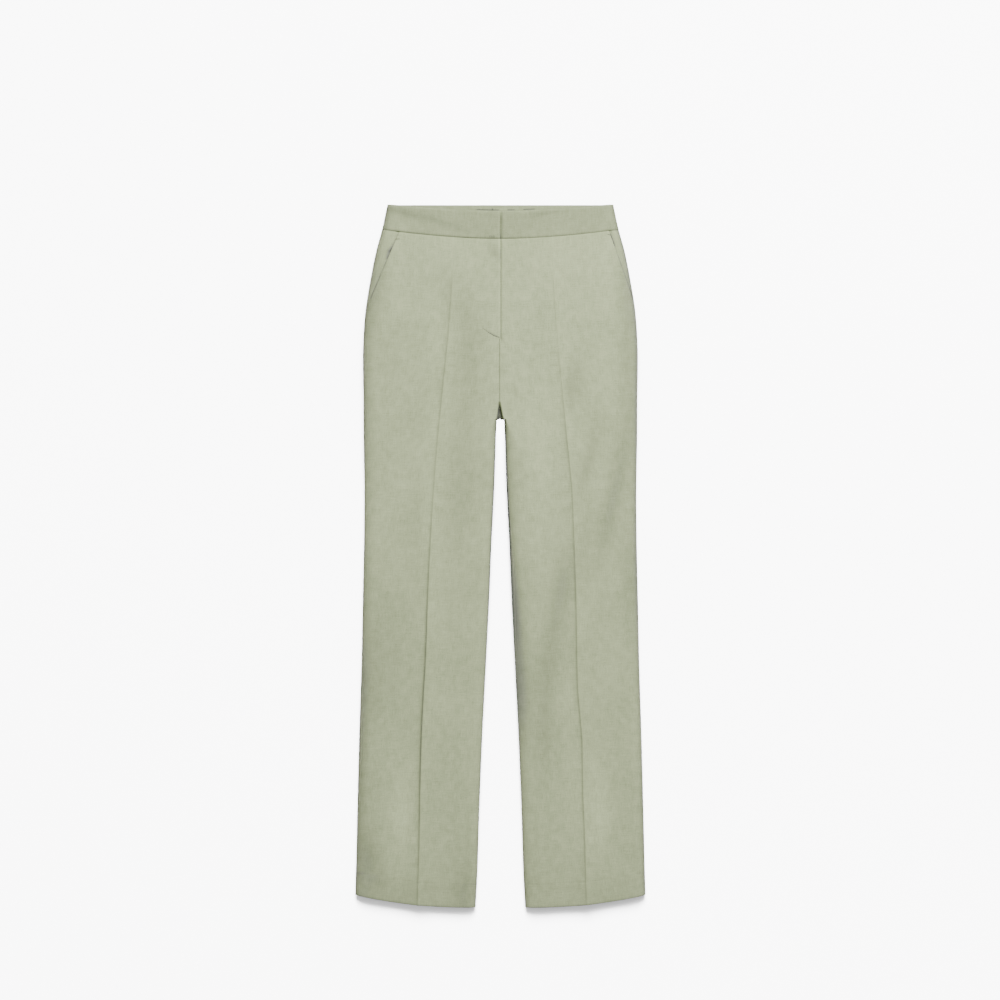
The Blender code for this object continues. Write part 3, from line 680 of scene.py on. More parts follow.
def new_material(name):
    """A material with nodes, its tree and its main shader."""
    made = bpy.data.materials.new(name)
    made.use_nodes = True
    return made, made.node_tree, made.node_tree.nodes["Principled BSDF"]


def noise_node(tree, vector, scale, detail, roughness=0.5):
    """Noise on some coordinates, in patches of about 1 / scale metres."""
    made = node(tree, "ShaderNodeTexNoise", Vector=vector, Scale=scale)
    set_up(tree, made, Detail=detail, Roughness=roughness)
    return made.outputs["Fac"]


def linen(name, light, dark):
    """A woven linen-look cloth between two colours."""
    cloth, tree, shader = new_material(name)
    uv = node(tree, "ShaderNodeUVMap", uv_map="UVMap").outputs["UV"]
    mixed = 0.5 - 0.5 * sum(grain.weight for grain in GRAINS.values())  # keeps the middle at 0.5
    noises = {}
    for part, grain in GRAINS.items():
        size = (1 / grain.across, 1 / grain.along, 1.0)
        stretched = node(tree, "ShaderNodeMapping", Vector=uv, Scale=size).outputs["Vector"]
        noises[part] = noise_node(tree, stretched, 1.0, grain.detail, grain.roughness)
        mixed = math_node(tree, "MULTIPLY_ADD", noises[part], grain.weight, mixed)
    tone = node(tree, "ShaderNodeAttribute", attribute_name="tone").outputs["Fac"]
    greyed = node(tree, "ShaderNodeMapRange", Value=tone)
    set_up(tree, greyed, From_Min=-0.65, From_Max=-0.20, To_Min=0.45, To_Max=1.0)
    toned = node(tree, "ShaderNodeHueSaturation", Saturation=greyed.outputs["Result"])
    set_up(tree, toned, Color=colour_ramp(tree, mixed, dark, light, 0.05, 0.95))
    set_up(tree, toned, Value=math_node(tree, "ADD", tone, 1.0))
    ribs = []
    for direction in "XY":
        rib = node(tree, "ShaderNodeTexWave", wave_type="BANDS", bands_direction=direction, Vector=uv)
        set_up(tree, rib, Scale=0.314 / THREAD, Distortion=1.2, Detail=1.0)
        ribs.append(rib.outputs["Fac"])
    slubs = math_node(tree, "ADD", noises["warp"], noises["weft"])
    height = math_node(tree, "MULTIPLY_ADD", *ribs, slubs)
    bump = node(tree, "ShaderNodeBump", Strength=0.35, Distance=0.00025, Height=height)
    set_up(tree, shader, Base_Color=toned.outputs["Color"], Normal=bump.outputs["Normal"])
    set_up(tree, shader, Roughness=0.86, Specular_IOR_Level=0.25)
    set_up(tree, shader, Sheen_Weight=0.12, Sheen_Roughness=0.5)
    return cloth


def deeper(colour, part):
    """A colour taken down to a part of its brightness."""
    return tuple(part * value for value in colour)


sage_linen = linen("sage_linen", SAGE_LIGHT, SAGE_DARK)
# darker copies of the same linen: painted shade on the waistband and on the facing inside it
shaded_band_linen = linen("shaded_band_linen", deeper(SAGE_LIGHT, 0.77), deeper(SAGE_DARK, 0.77))
shaded_inner_linen = linen("shaded_inner_linen", deeper(SAGE_LIGHT, 0.86), deeper(SAGE_DARK, 0.88))
print("cloth materials:", sage_linen.name, shaded_band_linen.name, shaded_inner_linen.name)

# %% [markdown]
# ## Thread, tape and metal
#
# Sewing thread is smoother than the cloth and shines a little along its length. The
# zip's tape is a fine, even weave. The slider, hook and bar are plated metal with the
# faint cloudiness that tumbling leaves.


# %% Small materials
def speckled(name, colour, other, grain, roughness, metallic=0.0, sheen=0.0):
    """A finish whose colour and roughness wander between two values."""
    finish, tree, shader = new_material(name)
    place = node(tree, "ShaderNodeTexCoord").outputs["Object"]
    spots = noise_node(tree, place, 1 / grain, 3.0)
    rough = node(tree, "ShaderNodeMapRange", Value=spots)
    set_up(tree, rough, To_Min=roughness - 0.06, To_Max=roughness + 0.06)
    set_up(tree, shader, Base_Color=colour_ramp(tree, spots, colour, other))
    set_up(tree, shader, Roughness=rough.outputs["Result"], Metallic=metallic, Sheen_Weight=sheen)
    return finish


sage_thread = speckled("sage_thread", (0.10, 0.11, 0.075), (0.07, 0.078, 0.052), 0.0008, 0.6, sheen=0.2)
zip_tape_weave = speckled("zip_tape_weave", (0.30, 0.32, 0.24), (0.25, 0.27, 0.20), 0.0010, 0.75)
zip_coil_nylon = speckled("zip_coil_nylon", (0.30, 0.32, 0.24), (0.26, 0.28, 0.21), 0.0010, 0.42)
plated_metal = speckled("plated_metal", (0.66, 0.66, 0.64), (0.55, 0.55, 0.53), 0.0020, 0.32, 1.0)

# %% [markdown]
# ## From a grid to a panel
#
# Every panel starts as a flat grid from `create_grid`. A function then says where each
# grid point goes in space. It is the way a paper pattern becomes a garment, and keeps
# rows and columns along the cloth's own threads. The distances along those rows and
# down the middle column also become the UV map, so the weave keeps its size.


# %% The panel maker
def lay_grid(across, down, place):
    """A mesh whose grid points place(across, down) puts at x, drop and height, with a tone."""
    bm = bmesh.new()
    columns, rows = len(across), len(down)
    bmesh.ops.create_grid(bm, x_segments=columns - 1, y_segments=rows - 1, size=0.5)
    flat = np.array([vert.co[:2] for vert in bm.verts])
    column = np.rint((flat[:, 0] + 0.5) * (columns - 1)).astype(int)
    row = np.rint((flat[:, 1] + 0.5) * (rows - 1)).astype(int)
    x, drop, height, tone = place(across[column], down[row])
    points = np.column_stack([x, OUTSEAM / 2 - drop, height])
    tones = bm.verts.layers.float.new("tone")
    for vert, point, value in zip(bm.verts, points, np.broadcast_to(tone, x.shape)):
        vert.co = point
        vert[tones] = value
    laid = np.zeros((rows, columns, 3))
    laid[row, column] = points
    steps_across = np.linalg.norm(np.diff(laid, axis=1), axis=2)
    steps_down = np.linalg.norm(np.diff(laid, axis=0), axis=2)
    u = np.hstack([np.zeros((rows, 1)), np.cumsum(steps_across, axis=1)])
    u -= u[:, [columns // 2]]
    v = np.append(0.0, np.cumsum(steps_down[:, columns // 2]))
    layer = bm.loops.layers.uv.new("UVMap")
    bm.verts.index_update()
    for face in bm.faces:
        for loop in face.loops:
            i = loop.vert.index
            loop[layer].uv = (u[row[i], column[i]], -v[row[i]])
    flat_size = (float(steps_across.sum(axis=1).max()), float(steps_down.sum(axis=0).max()))
    area = sum(face.calc_area() for face in bm.faces)
    return bm, row, flat_size, area


def finished(name, bm, finish, node_name=None):
    """Turns a bmesh into a piece that rides on the garment, and may stand for a solid."""
    mesh = bpy.data.meshes.new(name)
    bm.to_mesh(mesh)
    bm.free()
    mesh.shade_smooth()
    mesh.materials.append(finish)
    piece = bpy.data.objects.new(name, mesh)
    bpy.context.scene.collection.objects.link(piece)
    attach(piece, "root")
    if node_name:
        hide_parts(node_name)
    print(f"{name}: {len(mesh.polygons)} faces")
    return piece


CLOTH_WALL, HEM_EDGE = 0.0010, 0.002  # a hem doubles the wall, over this much of the leg


def cloth_panel(
    node_name, across, down, place, finish, up=True, wall=CLOTH_WALL, hemmed=False
):
    """One panel of cloth: a laid grid, turned to face outwards, with its thickness."""
    bm, row, flat_size, area = lay_grid(across, down, place)
    bm.normal_update()
    if (sum(face.normal.z * face.calc_area() for face in bm.faces) > 0) != up:
        bmesh.ops.reverse_faces(bm, faces=bm.faces)
    if hemmed:
        weights = bm.verts.layers.deform.verify()
        for vert, level in zip(bm.verts, down[row]):
            vert[weights][0] = float(after(level, OUTSEAM - HEM_TURN, HEM_EDGE))
    panel = finished(node_name + "_cloth", bm, finish, node_name)
    shell = panel.modifiers.new("thickness", "SOLIDIFY")
    shell.offset = -1
    shell.thickness = wall
    if hemmed:
        panel.vertex_groups.new(name="hem")
        shell.vertex_group = "hem"
        shell.thickness = 2 * wall
        shell.thickness_vertex_group = 0.5


# %% [markdown]
# ## The fronts
#
# A front is the panel that everyone sees: pressed crease, fly edge, slanted pocket mouth
# and hem. What makes it look sewn are small things, all under a millimetre high. The
# cloth dips into every seam, puckers a little along it, and stands up over the turnings
# hidden below. Each is one term added to the height.

# %% Seams, ridges and puckers of the fronts
LINE = 0.0009  # half the width of a seam's line of shade
SEAM_DIP = 0.0016  # half the width of the dip at a seam
DIPS = {  # half the width and the depth of the dip at each line of sewing
    "band seam": (SEAM_DIP, 0.0007),
    "middle seam": (0.0012, 0.00055),
    "hem edge": (SEAM_DIP, 0.0006),
    "hem stitches": (0.0014, 0.00028),
    "pocket mouth": (0.0012, 0.0004),
    "pocket top": (SEAM_DIP, 0.0006),
    "waist edge": (0.0012, 0.0008),
    "waistband's foot": (0.0014, 0.0009),
    "waistband's end": (0.0010, 0.0005),
}
TURNING = 0.00022  # cloth turned under lifts the layer on top by this much
FLY_RIDGES = (  # the fly's turnings, felt through the lap: x, first and last drop
    (-0.0150, 0.054, 0.111), (-0.0066, 0.054, 0.111), (-0.0100, 0.201, 0.241),
)  # fmt: skip
CURVE_LONG, CURVE_END, CURVE_RISE = 0.0272, 0.2006, 0.0149  # of the stitching that ends the fly
CREST_SHADE = 86  # painted shade beside the crest, for each metre that it rises
HEM_SHADE = {"right": 0.07, "left": 0.045}  # painted shade on the doubled cloth below the hem's line
# painted shade in the recess where the two fronts part above the crotch point
NOTCH_SHADE = {"right": 0.78, "left": 0.48}
FORK_PAINTED_LIGHT = {"right": 0.12, "left": 0.30}  # painted light on the leg's roll just below the crotch point, against its shading


def dip(distance, line):
    """The dip at a line of sewing, gone at about twice its width."""
    width, depth = DIPS[line]
    return -depth * streak(distance, width)


def fly_curve(x, drop):
    """1 along the stitched curve that ends the fly, and 0 away from it."""
    along = np.clip(-x / CURVE_LONG, 0.0, 1.0)
    return streak(drop - CURVE_END + CURVE_RISE * along**1.35, 0.0011) * (x > -CURVE_LONG - 0.0008)


def front_detail(leg, out, share, drop):
    """What sewing and pressing add to the height of a front."""
    x = SIDES[leg] * out
    from_band = drop - band_seam(out)
    hem = OUTSEAM - hem_edge(out) - drop
    seam = x - SEAM_SHIFT
    flat = ease(share / 0.16) * ease((1 - share) / 0.16)
    height = flat * (ripple(x, drop, "front") + ripple(x, drop, "front, fine"))
    height += dip(from_band, "band seam") + streak(from_band, 0.010) * ripple(x, drop, "band seam")
    height += dip(hem, "hem edge") + TURNING * before(hem, HEM_TURN, 0.0015)
    height += dip(hem - HEM_TURN, "hem stitches") * (1 + ripple(x, drop, "hem stitches"))
    below_fly = after(drop, FLY_END, 0.004) * before(drop, NOTCH - 0.004, 0.004)
    pucker = streak(seam, 0.006) * ripple(x, drop, "middle seam")
    height += below_fly * (dip(seam, "middle seam") + pucker)
    for ridge_x, start, end in FLY_RIDGES:
        along = after(drop, start, 0.008) * before(drop, end - 0.010, 0.010)
        height += along * TURNING * streak(x - ridge_x, 0.0013)
    if leg == "right":
        lap = before(drop, FLY_END, 0.003) * streak(FLY_EDGE - x, LINE)
        height -= 0.0003 * fly_curve(x, drop) + 0.0004 * lap
    return height


def tucked(x, drop):
    """How far the left front sinks to pass under the fly's lap."""
    return UNDER * before(x, LAP_CLEAR, 0.0024) * before(drop, FLY_END + 0.004, 0.007)


RIM_DROPS = (FORK, FORK + 0.003, 0.36, 0.48, 0.56, 0.65, 0.80, OUTSEAM)
Rim = namedtuple("Rim", "width tones")
RIMS = {  # the line of shade along each edge: its width, and its depth at those drops
    ("right", "side"): Rim(0.0018, (0.14, 0.14, 0.14, 0.14, 0.12, 0.10, 0.10, 0.10)),
    ("left", "side"): Rim(0.0042, (0.30, 0.28, 0.28, 0.32, 0.30, 0.28, 0.28, 0.26)),
    ("right", "inseam"): Rim(0.0019, (0.0, 0.64, 0.66, 0.68, 0.60, 0.44, 0.34, 0.20)),
    ("left", "inseam"): Rim(0.0024, (0.0, 0.62, 0.84, 0.86, 0.30, 0.15, 0.20, 0.14)),
}


def painted_edge_shade(leg, out, drop):
    """Painted shade along a leg's edges where they roll away, deepest where the seam has crept up over
    them.
    """
    row = station(drop)
    tone = 0.0
    edges = {"side": (row.side - out, 1.0), "inseam": (out - row.inseam, after(drop, FORK, 0.02))}
    for edge, (inwards, here) in edges.items():
        turn = TURNS.get((leg, edge))
        crept = bell((drop - turn.middle) / turn.reach) if turn else 0.0
        inwards = np.maximum(inwards, 0.0)
        tone = tone - here * (0.09 + 0.19 * crept) * np.exp(-inwards / (0.0045 + 0.0055 * crept))
        rim = RIMS[leg, edge]
        tone = tone - np.interp(drop, RIM_DROPS, rim.tones) * streak(inwards, rim.width)
    return np.maximum(tone, -0.9)


def front_painted_light(leg, out, share, drop):
    """Painted shade in a front's seams, notch, edges, crease and hem, and painted highlights by its fly
    and fork.
    """
    x = SIDES[leg] * out
    hem = OUTSEAM - hem_edge(out) - drop
    from_crease = SIDES[leg] * (out - crease_line(leg, drop))
    in_fly = before(drop, FLY_END, 0.004)
    # painted shade in the seam under the waistband and in the middle seam
    tone = -0.20 * streak(drop - band_seam(out), LINE) * (1 - 0.7 * after(x, -0.002, 0.006))
    tone -= 0.20 * (1 - in_fly) * before(drop, NOTCH - 0.002, 0.004) * streak(x - SEAM_SHIFT, LINE)
    # by the fly: a painted highlight on the lap's edge and painted shade in its stitched curve; painted
    # shadow where the left front comes out from under the lap
    if leg == "right":
        under_band = before(drop, 0.061, 0.004)
        tone += (0.10 + 0.20 * under_band) * in_fly * streak(x - FLY_EDGE + 0.0015, LINE)
        tone -= 0.42 * fly_curve(x, drop) * after(x, -0.0262, 0.010)
    else:
        tone -= 0.30 * in_fly * streak(x - LAP_CLEAR + 0.0002, LINE)
    # painted shade along the outer edge and beside the crease's crest
    tone -= 0.22 * streak((1 - share) * 0.13, LINE)
    tone -= CREST_SHADE * crest_rise(leg, drop) * streak(from_crease + 0.0008, 0.0013)
    # painted shade along the hem's stitching and over the doubled cloth below it
    stitch_shade = 0.07 + ripple(x, drop, "hem stitches, tone")
    tone -= stitch_shade * streak(hem - HEM_TURN, 0.0013) + HEM_SHADE[leg] * before(hem, HEM_TURN, 0.002)
    uneven = 1 + ripple(x, drop, "front, tone")
    _, begin, opened = inner_lines(leg, drop)
    # painted shade in the notch where the fronts part, and painted light on the roll just below the
    # crotch point
    in_notch = ease(opened * 2.5) * (drop <= FORK + 0.0015) * (out < begin + 0.0001)
    stretched = (1 - in_notch) * bell((drop - FORK - 0.004) / 0.044) * np.exp((begin - out) / 0.008)
    tone = tone * uneven + folds(x, drop)[1] + painted_edge_shade(leg, out, drop)
    return tone - NOTCH_SHADE[leg] * in_notch + FORK_PAINTED_LIGHT[leg] * stretched


front_across = runs(
    0.0, (0.010, 2), (0.040, 5), (0.20, 17), (0.45, 20), (0.485, 7), (0.515, 20), (0.55, 7),
    (0.80, 20), (0.97, 20), (1.0, 5),
)  # fmt: skip
front_down = runs(
    BAND_MIDDLE, (0.0560, 6), (0.163, 46), (0.183, 12), (0.202, 24), (0.207, 5), (0.286, 28),
    (0.318, 24), (0.328, 16), (0.352, 10), (1.012, 136), (1.021, 9), (1.049, 12), (OUTSEAM, 4),
)  # fmt: skip


def make_front(leg):
    """One front of fine cloth over its solid."""

    def place(share, level):
        drop = level
        for _ in range(3):
            wide = mouth_share(leg, drop)
            outer = MIDDLE + (share - MIDDLE) * (wide - MIDDLE) / (1 - MIDDLE)
            at = np.where(share > MIDDLE, outer, share)
            drop = panel_drop(upper(leg, at, drop)[0], level, band_seam)
        out, height = upper(leg, at, drop)
        x = SIDES[leg] * out
        if leg == "left":
            height = height - tucked(x, drop)
        mouth = np.where(drop < MOUTHS[leg].end_drop, (wide - at) * 0.2, 1.0)
        height = height + front_detail(leg, out, at, drop) + dip(mouth, "pocket mouth")
        return x, drop, height, front_painted_light(leg, out, at, drop)

    cloth_panel(f"front_{leg}", front_across, front_down, place, sage_linen, hemmed=True)


for leg in SIDES:
    make_front(leg)

# %% [markdown]
# ## The backs
#
# The backs lie face down, so most of them is pressed flat by the garment's own weight.
# They show at the edges, where they roll up to the seams, and inside the legs. Turned
# over, they show what the fronts show: a pressed crease down each leg, and soft folds
# where the cloth stands a millimetre off the surface.

# %% Back panels
back_across = runs(
    0.0, (0.02, 2), (0.075, 6), (0.30, 14), (0.465, 14), (0.525, 28), (0.70, 14), (0.925, 14),
    (0.98, 6), (1.0, 2),
)  # fmt: skip
back_down = runs(
    BACK_BAND_MIDDLE, (0.045, 4), (0.292, 50), (0.328, 30), (0.352, 8), (1.012, 90), (1.021, 5),
    (OUTSEAM, 10),
)  # fmt: skip
BACK_CREASE_LIFT, BACK_CREASE_REACH = 0.0009, 0.012


def back_crease(out, drop):
    """How far a back stands off the surface beside its pressed crease, and the crease's shade."""
    beside = np.abs(out - station(drop).crease)
    pressed = after(drop, CREASE_FULL, 0.15)
    lift = BACK_CREASE_LIFT * (1 - np.exp(-beside / 0.003)) * streak(beside, BACK_CREASE_REACH)
    return pressed * lift, -0.16 * pressed * streak(beside, 0.0011)


def make_back(leg):
    """One back of cloth over its solid."""

    def place(share, level):
        drop = panel_drop(lower(leg, share, level)[0], level, back_band_seam)
        out, height = lower(leg, share, drop)
        x = SIDES[leg] * out
        seam = before(drop, FORK - BACK_RISE - 0.02, 0.02) * streak(out, 0.0014)
        waist = streak(drop - back_band_seam(out), SEAM_DIP)
        flat = ease(share / 0.2) * ease((1 - share) / 0.2)
        lift, shade = folds(x, drop, BACK_FOLDS)
        crease_lift, crease_shade = back_crease(out, drop)
        kind = f"{leg} back"
        uneven = RIPPLES[kind].amount + ripple(out, drop, kind)
        rolled_up = 0.7 * after(height, 0.004, 0.002)
        # painted shade at the crotch point, in the seams and along the edges, and the folds' painted
        # shade and light
        at_fork = (out < 0.0075) * after(drop, FORK - BACK_RISE, 0.004) * (drop < FORK + 0.003)
        tone = painted_edge_shade(leg, out, drop) - 0.25 * (seam + waist) - 0.62 * at_fork
        tone = tone + rolled_up * folds(x, drop)[1] + flat * (shade + crease_shade)
        return x, drop, height + 0.0004 * (seam + waist) + flat * (uneven + lift + crease_lift), tone

    cloth_panel(f"back_{leg}", back_across, back_down, place, sage_linen, up=False, hemmed=True)


for leg in SIDES:
    make_back(leg)

# %% [markdown]
# ## The side pieces of the pockets
#
# A slanted pocket has no piece sewn on top. The front is cut away along the mouth, and
# another piece, which belongs to the pocket bag, carries on below it to the side seam.

# %% Pocket side pieces
pocket_across = runs(-1.0, (0.0, 8), (0.3, 8), (0.95, 12), (1.0, 3))


def make_pocket_side(leg):
    """The side piece that shows between a pocket's mouth and the side seam."""
    mouth = MOUTHS[leg]

    def place(column, level):
        drop = level
        for _ in range(3):
            edge = mouth_share(leg, drop)
            tuck = POCKET_UNDER * (1 - 0.6 * after(drop, mouth.top_drop, 0.1))
            under = share_at(leg, mouth_out(leg, drop) + np.minimum(column, 0) * tuck, drop)
            at = np.where(column < 0, under, edge + (1 - edge) * column)
            out, _ = upper(leg, at, drop)
            drop = panel_drop(out, level, band_seam)
        edge_out = mouth_out(leg, drop)
        width = upper(leg, np.ones(drop.shape), drop)[0] - edge_out
        blend = np.minimum(POCKET_BLEND, 0.7 * width)
        depth = POCKET_DEPTH * before(out - edge_out, 0.2 * blend, blend)
        at_top = before(drop - band_seam(out), 0.002, 0.010)
        depth = depth * (1 - 0.85 * at_top * ease(column / 0.12))
        out, height = upper(leg, at, drop, depth)
        from_band = drop - band_seam(out)
        # tone: a painted shadow under the mouth's edge, widest at gape_at, dark painted shade on the
        # part tucked under the front, and painted shade in the waistband's seam
        below = after(from_band, mouth.gape_from, 0.004)
        gaping = bell((drop - mouth.gape_at) / 0.015) ** 0.7
        tone = -(0.40 + ripple(out, drop, "pocket mouth, tone") + 0.50 * gaping) * below
        tone = np.where(column < 0, -0.7, tone * streak(out - edge_out, 0.0011 + mouth.gape * gaping))
        tone = tone - 0.30 * streak(from_band, LINE)
        tone = tone + folds(SIDES[leg] * out, drop)[1] + painted_edge_shade(leg, out, drop)
        return SIDES[leg] * out, drop, height + dip(from_band, "pocket top"), tone

    down = runs(BAND_MIDDLE, (0.056, 4), (mouth.end_drop - 0.003, 50))
    cloth_panel(f"pocket_side_{leg}", pocket_across, down, place, sage_linen)


for leg in SIDES:
    make_pocket_side(leg)

# %% [markdown]
# ## The waistband
#
# The waistband is two layers with stiff interfacing between them, so it stays smooth
# where the panels below it are soft. It stands a little proud, and its right end laps
# over the left one, where a hook holds it. The back is one strip, and its inside shows
# as a sliver because the front edge sits lower.

# %% Waistbands
BAND_START, BAND_WALL = 0.0008, 0.0022  # the right half's end beside the middle; its thickness
BAND_SEAM_SHADE = {"right": 0.20, "left": 0.08}
band_down = runs(0.0, (0.06, 4), (0.94, 18), (1.0, 4))


def make_front_band(leg):
    """Half of the front waistband."""
    start = BAND_START if leg == "right" else FLY_EDGE - BAND_LAP
    sink = BAND_THICK + SEAM_GAP + HOOK_THICK + SEAM_GAP  # the left end lies under the lap and the hook
    across = runs(-1.0, (-0.9, 3), (0.0, 16), (ROLL_SHARE, 1), (0.80, 60), (0.97, 14), (1.0, 4))
    across = across[across != 0.0]

    def place(column, row):
        share = np.maximum(column, ROLL_SHARE)
        drop = BAND_MIDDLE * row
        for _ in range(3):
            first, _ = upper(leg, np.full(drop.shape, ROLL_SHARE), drop)
            out, height = upper(leg, share, drop)
            flat_out = start + (first - start) * (column + 1) / (1 + ROLL_SHARE)
            out = np.where(column < ROLL_SHARE, flat_out, out)
            height = np.where(column < ROLL_SHARE, top_height(leg, out, drop), height)
            drop = waist_edge(out) + (band_seam(out) - SEAM_GAP / 2 - waist_edge(out)) * row
        x = SIDES[leg] * out
        end = out - start
        depth = band_seam(out) - waist_edge(out)
        from_top, from_seam = depth * row, depth * (1 - row)
        height = height + BAND_LIFT * ease((1 - column) / (1.5 * ROLL_SHARE))
        # tone: a painted highlight below the top edge and painted shade in the seam; by the lap, a
        # painted highlight at the right half's end and painted shade on the left half, turning to
        # painted light near the top
        tone = 0.10 * streak(from_top - 0.0022, 0.0014) - BAND_SEAM_SHADE[leg] * streak(from_seam, LINE)
        if leg == "left":
            height -= sink * before(out, FLY_EDGE + SEAM_GAP, 0.0036)
            tone -= 0.45 * streak(x + 0.0001, LINE) * (1.6 * after(drop, 0.013, 0.010) - 0.6)
        else:
            tone += 0.10 * streak(end - 0.0018, LINE)
        height += dip(from_top, "waist edge") + dip(from_seam, "waistband's foot")
        height += dip(end, "waistband's end")
        height += ripple(x, drop, "waistband") * ease((1 - column) / 0.3)
        return x, drop, height, tone + folds(x, drop)[1] + 0.6 * painted_edge_shade(leg, out, drop)

    cloth_panel(f"waistband_front_{leg}", across, band_down, place, shaded_band_linen, wall=BAND_WALL)


def make_back_band():
    """The back waistband, one strip from side seam to side seam."""
    half = runs(LOWER_ROLL_SHARE, (0.70, 16), (1.0, 16))
    across = np.concatenate([-half[::-1], [0.0], half])

    def place(column, row):
        share = np.maximum(np.abs(column), LOWER_ROLL_SHARE)
        drop = BACK_BAND_MIDDLE * row
        for _ in range(2):
            right, left = lower("right", share, drop), lower("left", share, drop)
            out = np.where(column < 0, right[0], left[0]) * (column != 0)
            height = np.where(column < 0, right[1], left[1]) * (column != 0)
            drop = (back_band_seam(out) - SEAM_GAP / 2) * row
        return np.sign(column) * out, drop, height, 0.0

    cloth_panel("waistband_back", across, band_down, place, shaded_band_linen, up=False, wall=BAND_WALL)


FACING_SHADOW_SPANS = ((-0.0370, -0.0010), (0.0095, 0.0225), (0.0330, 0.0530))  # where the front's top edge throws a painted shadow on it


def make_facing():
    """The inside of the back waistband."""
    low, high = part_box("waistband_facing")
    across = runs(0.0, (0.38, 40), (0.66, 150), (1.0, 40))
    down = runs(0.0, (0.06, 2), (0.94, 26), (1.0, 2))

    def place(column, row):
        x = low[0] + (high[0] - low[0]) * column
        y = high[1] + (low[1] - high[1]) * row
        height = high[2] - 0.0001 - RIPPLES["facing"].amount - ripple(x, y, "facing")
        drop = OUTSEAM / 2 - y
        shadowed = sum(after(x, start, 0.002) * after(-x, -end, 0.002) for start, end in FACING_SHADOW_SPANS)
        # painted shadow of the front's top edge across the facing
        tone = -0.80 * shadowed * streak(drop - waist_edge(x) + 0.0018, 0.0010)
        tick = streak(x + 0.0118, LINE) * after(drop, 0.0044, 0.001) * (drop < 0.0105)
        return x, drop, height, np.maximum(tone - 0.7 * tick, -0.8)

    cloth_panel("waistband_facing", across, down, place, shaded_inner_linen)


for leg in SIDES:
    make_front_band(leg)
make_back_band()
make_facing()

# %% [markdown]
# ## Stitches
#
# Only a few stitches show: the curve that ends the fly, the bar tacks at the ends of the
# pocket mouths, and the marks of the hook's sewing. Each is a sphere stretched between
# two needle holes and half sunk in the cloth. Real thread twists, but at this size only
# its round, slightly shiny form can be seen.


# %% Sewing one by one
def cloth_point(leg, x, drop):
    """The point on the outside of a front, or of the waistband above it."""
    out, drops = np.array([SIDES[leg] * x]), np.array([drop])
    if drop < band_seam(out[0]):
        height = top_height(leg, out, drops) + BAND_LIFT
    else:
        share = share_at(leg, out, drops, 0.0)
        height = upper(leg, share, drops)[1] + front_detail(leg, out, share, drops)
    return Vector((x, OUTSEAM / 2 - drop, float(height[0])))


def stitch(bm, start, end, thick):
    """A thread that shows between two needle holes."""
    along = end - start
    stretched = Matrix.Diagonal((along.length / 2, thick / 2, thick / 2, 1.0))
    turned = along.to_track_quat("X", "Z").to_matrix().to_4x4()
    placed = Matrix.Translation((start + end) / 2) @ turned @ stretched
    bmesh.ops.create_uvsphere(bm, u_segments=8, v_segments=5, radius=1.0, matrix=placed)


Seam = namedtuple("Seam", "leg x drop end_x end_drop count length turn thick")  # turn in degrees
FLY_CURVE = (
    Seam("right", -0.0272, 0.1855, -0.0164, 0.1938, 4, 0.0027, 0, 0.00080),
    Seam("right", -0.0164, 0.1938, -0.0085, 0.1982, 3, 0.0030, 0, 0.00110),
    Seam("right", -0.0085, 0.1982, -0.0012, 0.2004, 2, 0.0036, 0, 0.00110),
)
BAR_TACKS = (
    Seam("right", -0.1562, 0.0528, -0.1503, 0.0525, 9, 0.0016, 78, 0.00050),
    Seam("right", -0.1532, 0.0435, -0.1530, 0.0482, 2, 0.0019, 0, 0.00055),
    Seam("left", 0.1602, 0.0458, 0.1650, 0.0468, 8, 0.0016, 78, 0.00050),
)
MARKS_X = (-0.0156, -0.0126, -0.0096)
HOOK_MARKS = [Seam("right", x, 0.0465, x, 0.0512, 1, 0.0042, 0, 0.0012) for x in MARKS_X]


def sew(name, seams):
    """Rows of stitches, each row evenly spaced from one end to the other."""
    bm = bmesh.new()
    for seam in seams:
        start = Vector((seam.x, seam.drop))
        step = (Vector((seam.end_x, seam.end_drop)) - start) / seam.count
        half = step.normalized() * seam.length / 2
        half.rotate(Matrix.Rotation(math.radians(seam.turn), 2))
        for k in range(seam.count):
            middle = start + step * (k + 0.5)
            ends = [cloth_point(seam.leg, *place) for place in (middle - half, middle + half)]
            stitch(bm, *ends, seam.thick)
    finished(name, bm, sage_thread)


sew("fly_stitching", FLY_CURVE)
sew("bar_tacks", BAR_TACKS)
sew("hook_stitching", HOOK_MARKS)

# %% [markdown]
# ## What closes the front
#
# Behind the lap lie a zip and an underlap, and between the ends of the waistband a flat
# hook and bar. They hardly show, but the garment isn't whole without them. The tape and
# the underlap are strips of cloth. The zip's coil is one row of round turns. The slider
# and the hook keep their solids, which are plain plates, and only get their metal.


# %% The closure
def make_strip(node_name, layers, finish):
    """A strip under the fly: as long and wide as its solid, and as deep as its layer."""
    low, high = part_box(node_name)

    def place(column, row):
        x = low[0] + (high[0] - low[0]) * column
        drop = OUTSEAM / 2 - high[1] + (high[1] - low[1]) * row
        height = np.where(x < 0, top_height("right", -x, drop), top_height("left", x, drop))
        return x, drop, height - layers * UNDER, 0.0

    cloth_panel(node_name, runs(0.0, (1.0, 12)), runs(0.0, (1.0, 40)), place, finish)


ZIP_LAYERS, UNDERLAP_LAYERS = 2, 4.4
make_strip("zip_tape", ZIP_LAYERS, zip_tape_weave)
make_strip("fly_underlap", UNDERLAP_LAYERS, sage_linen)

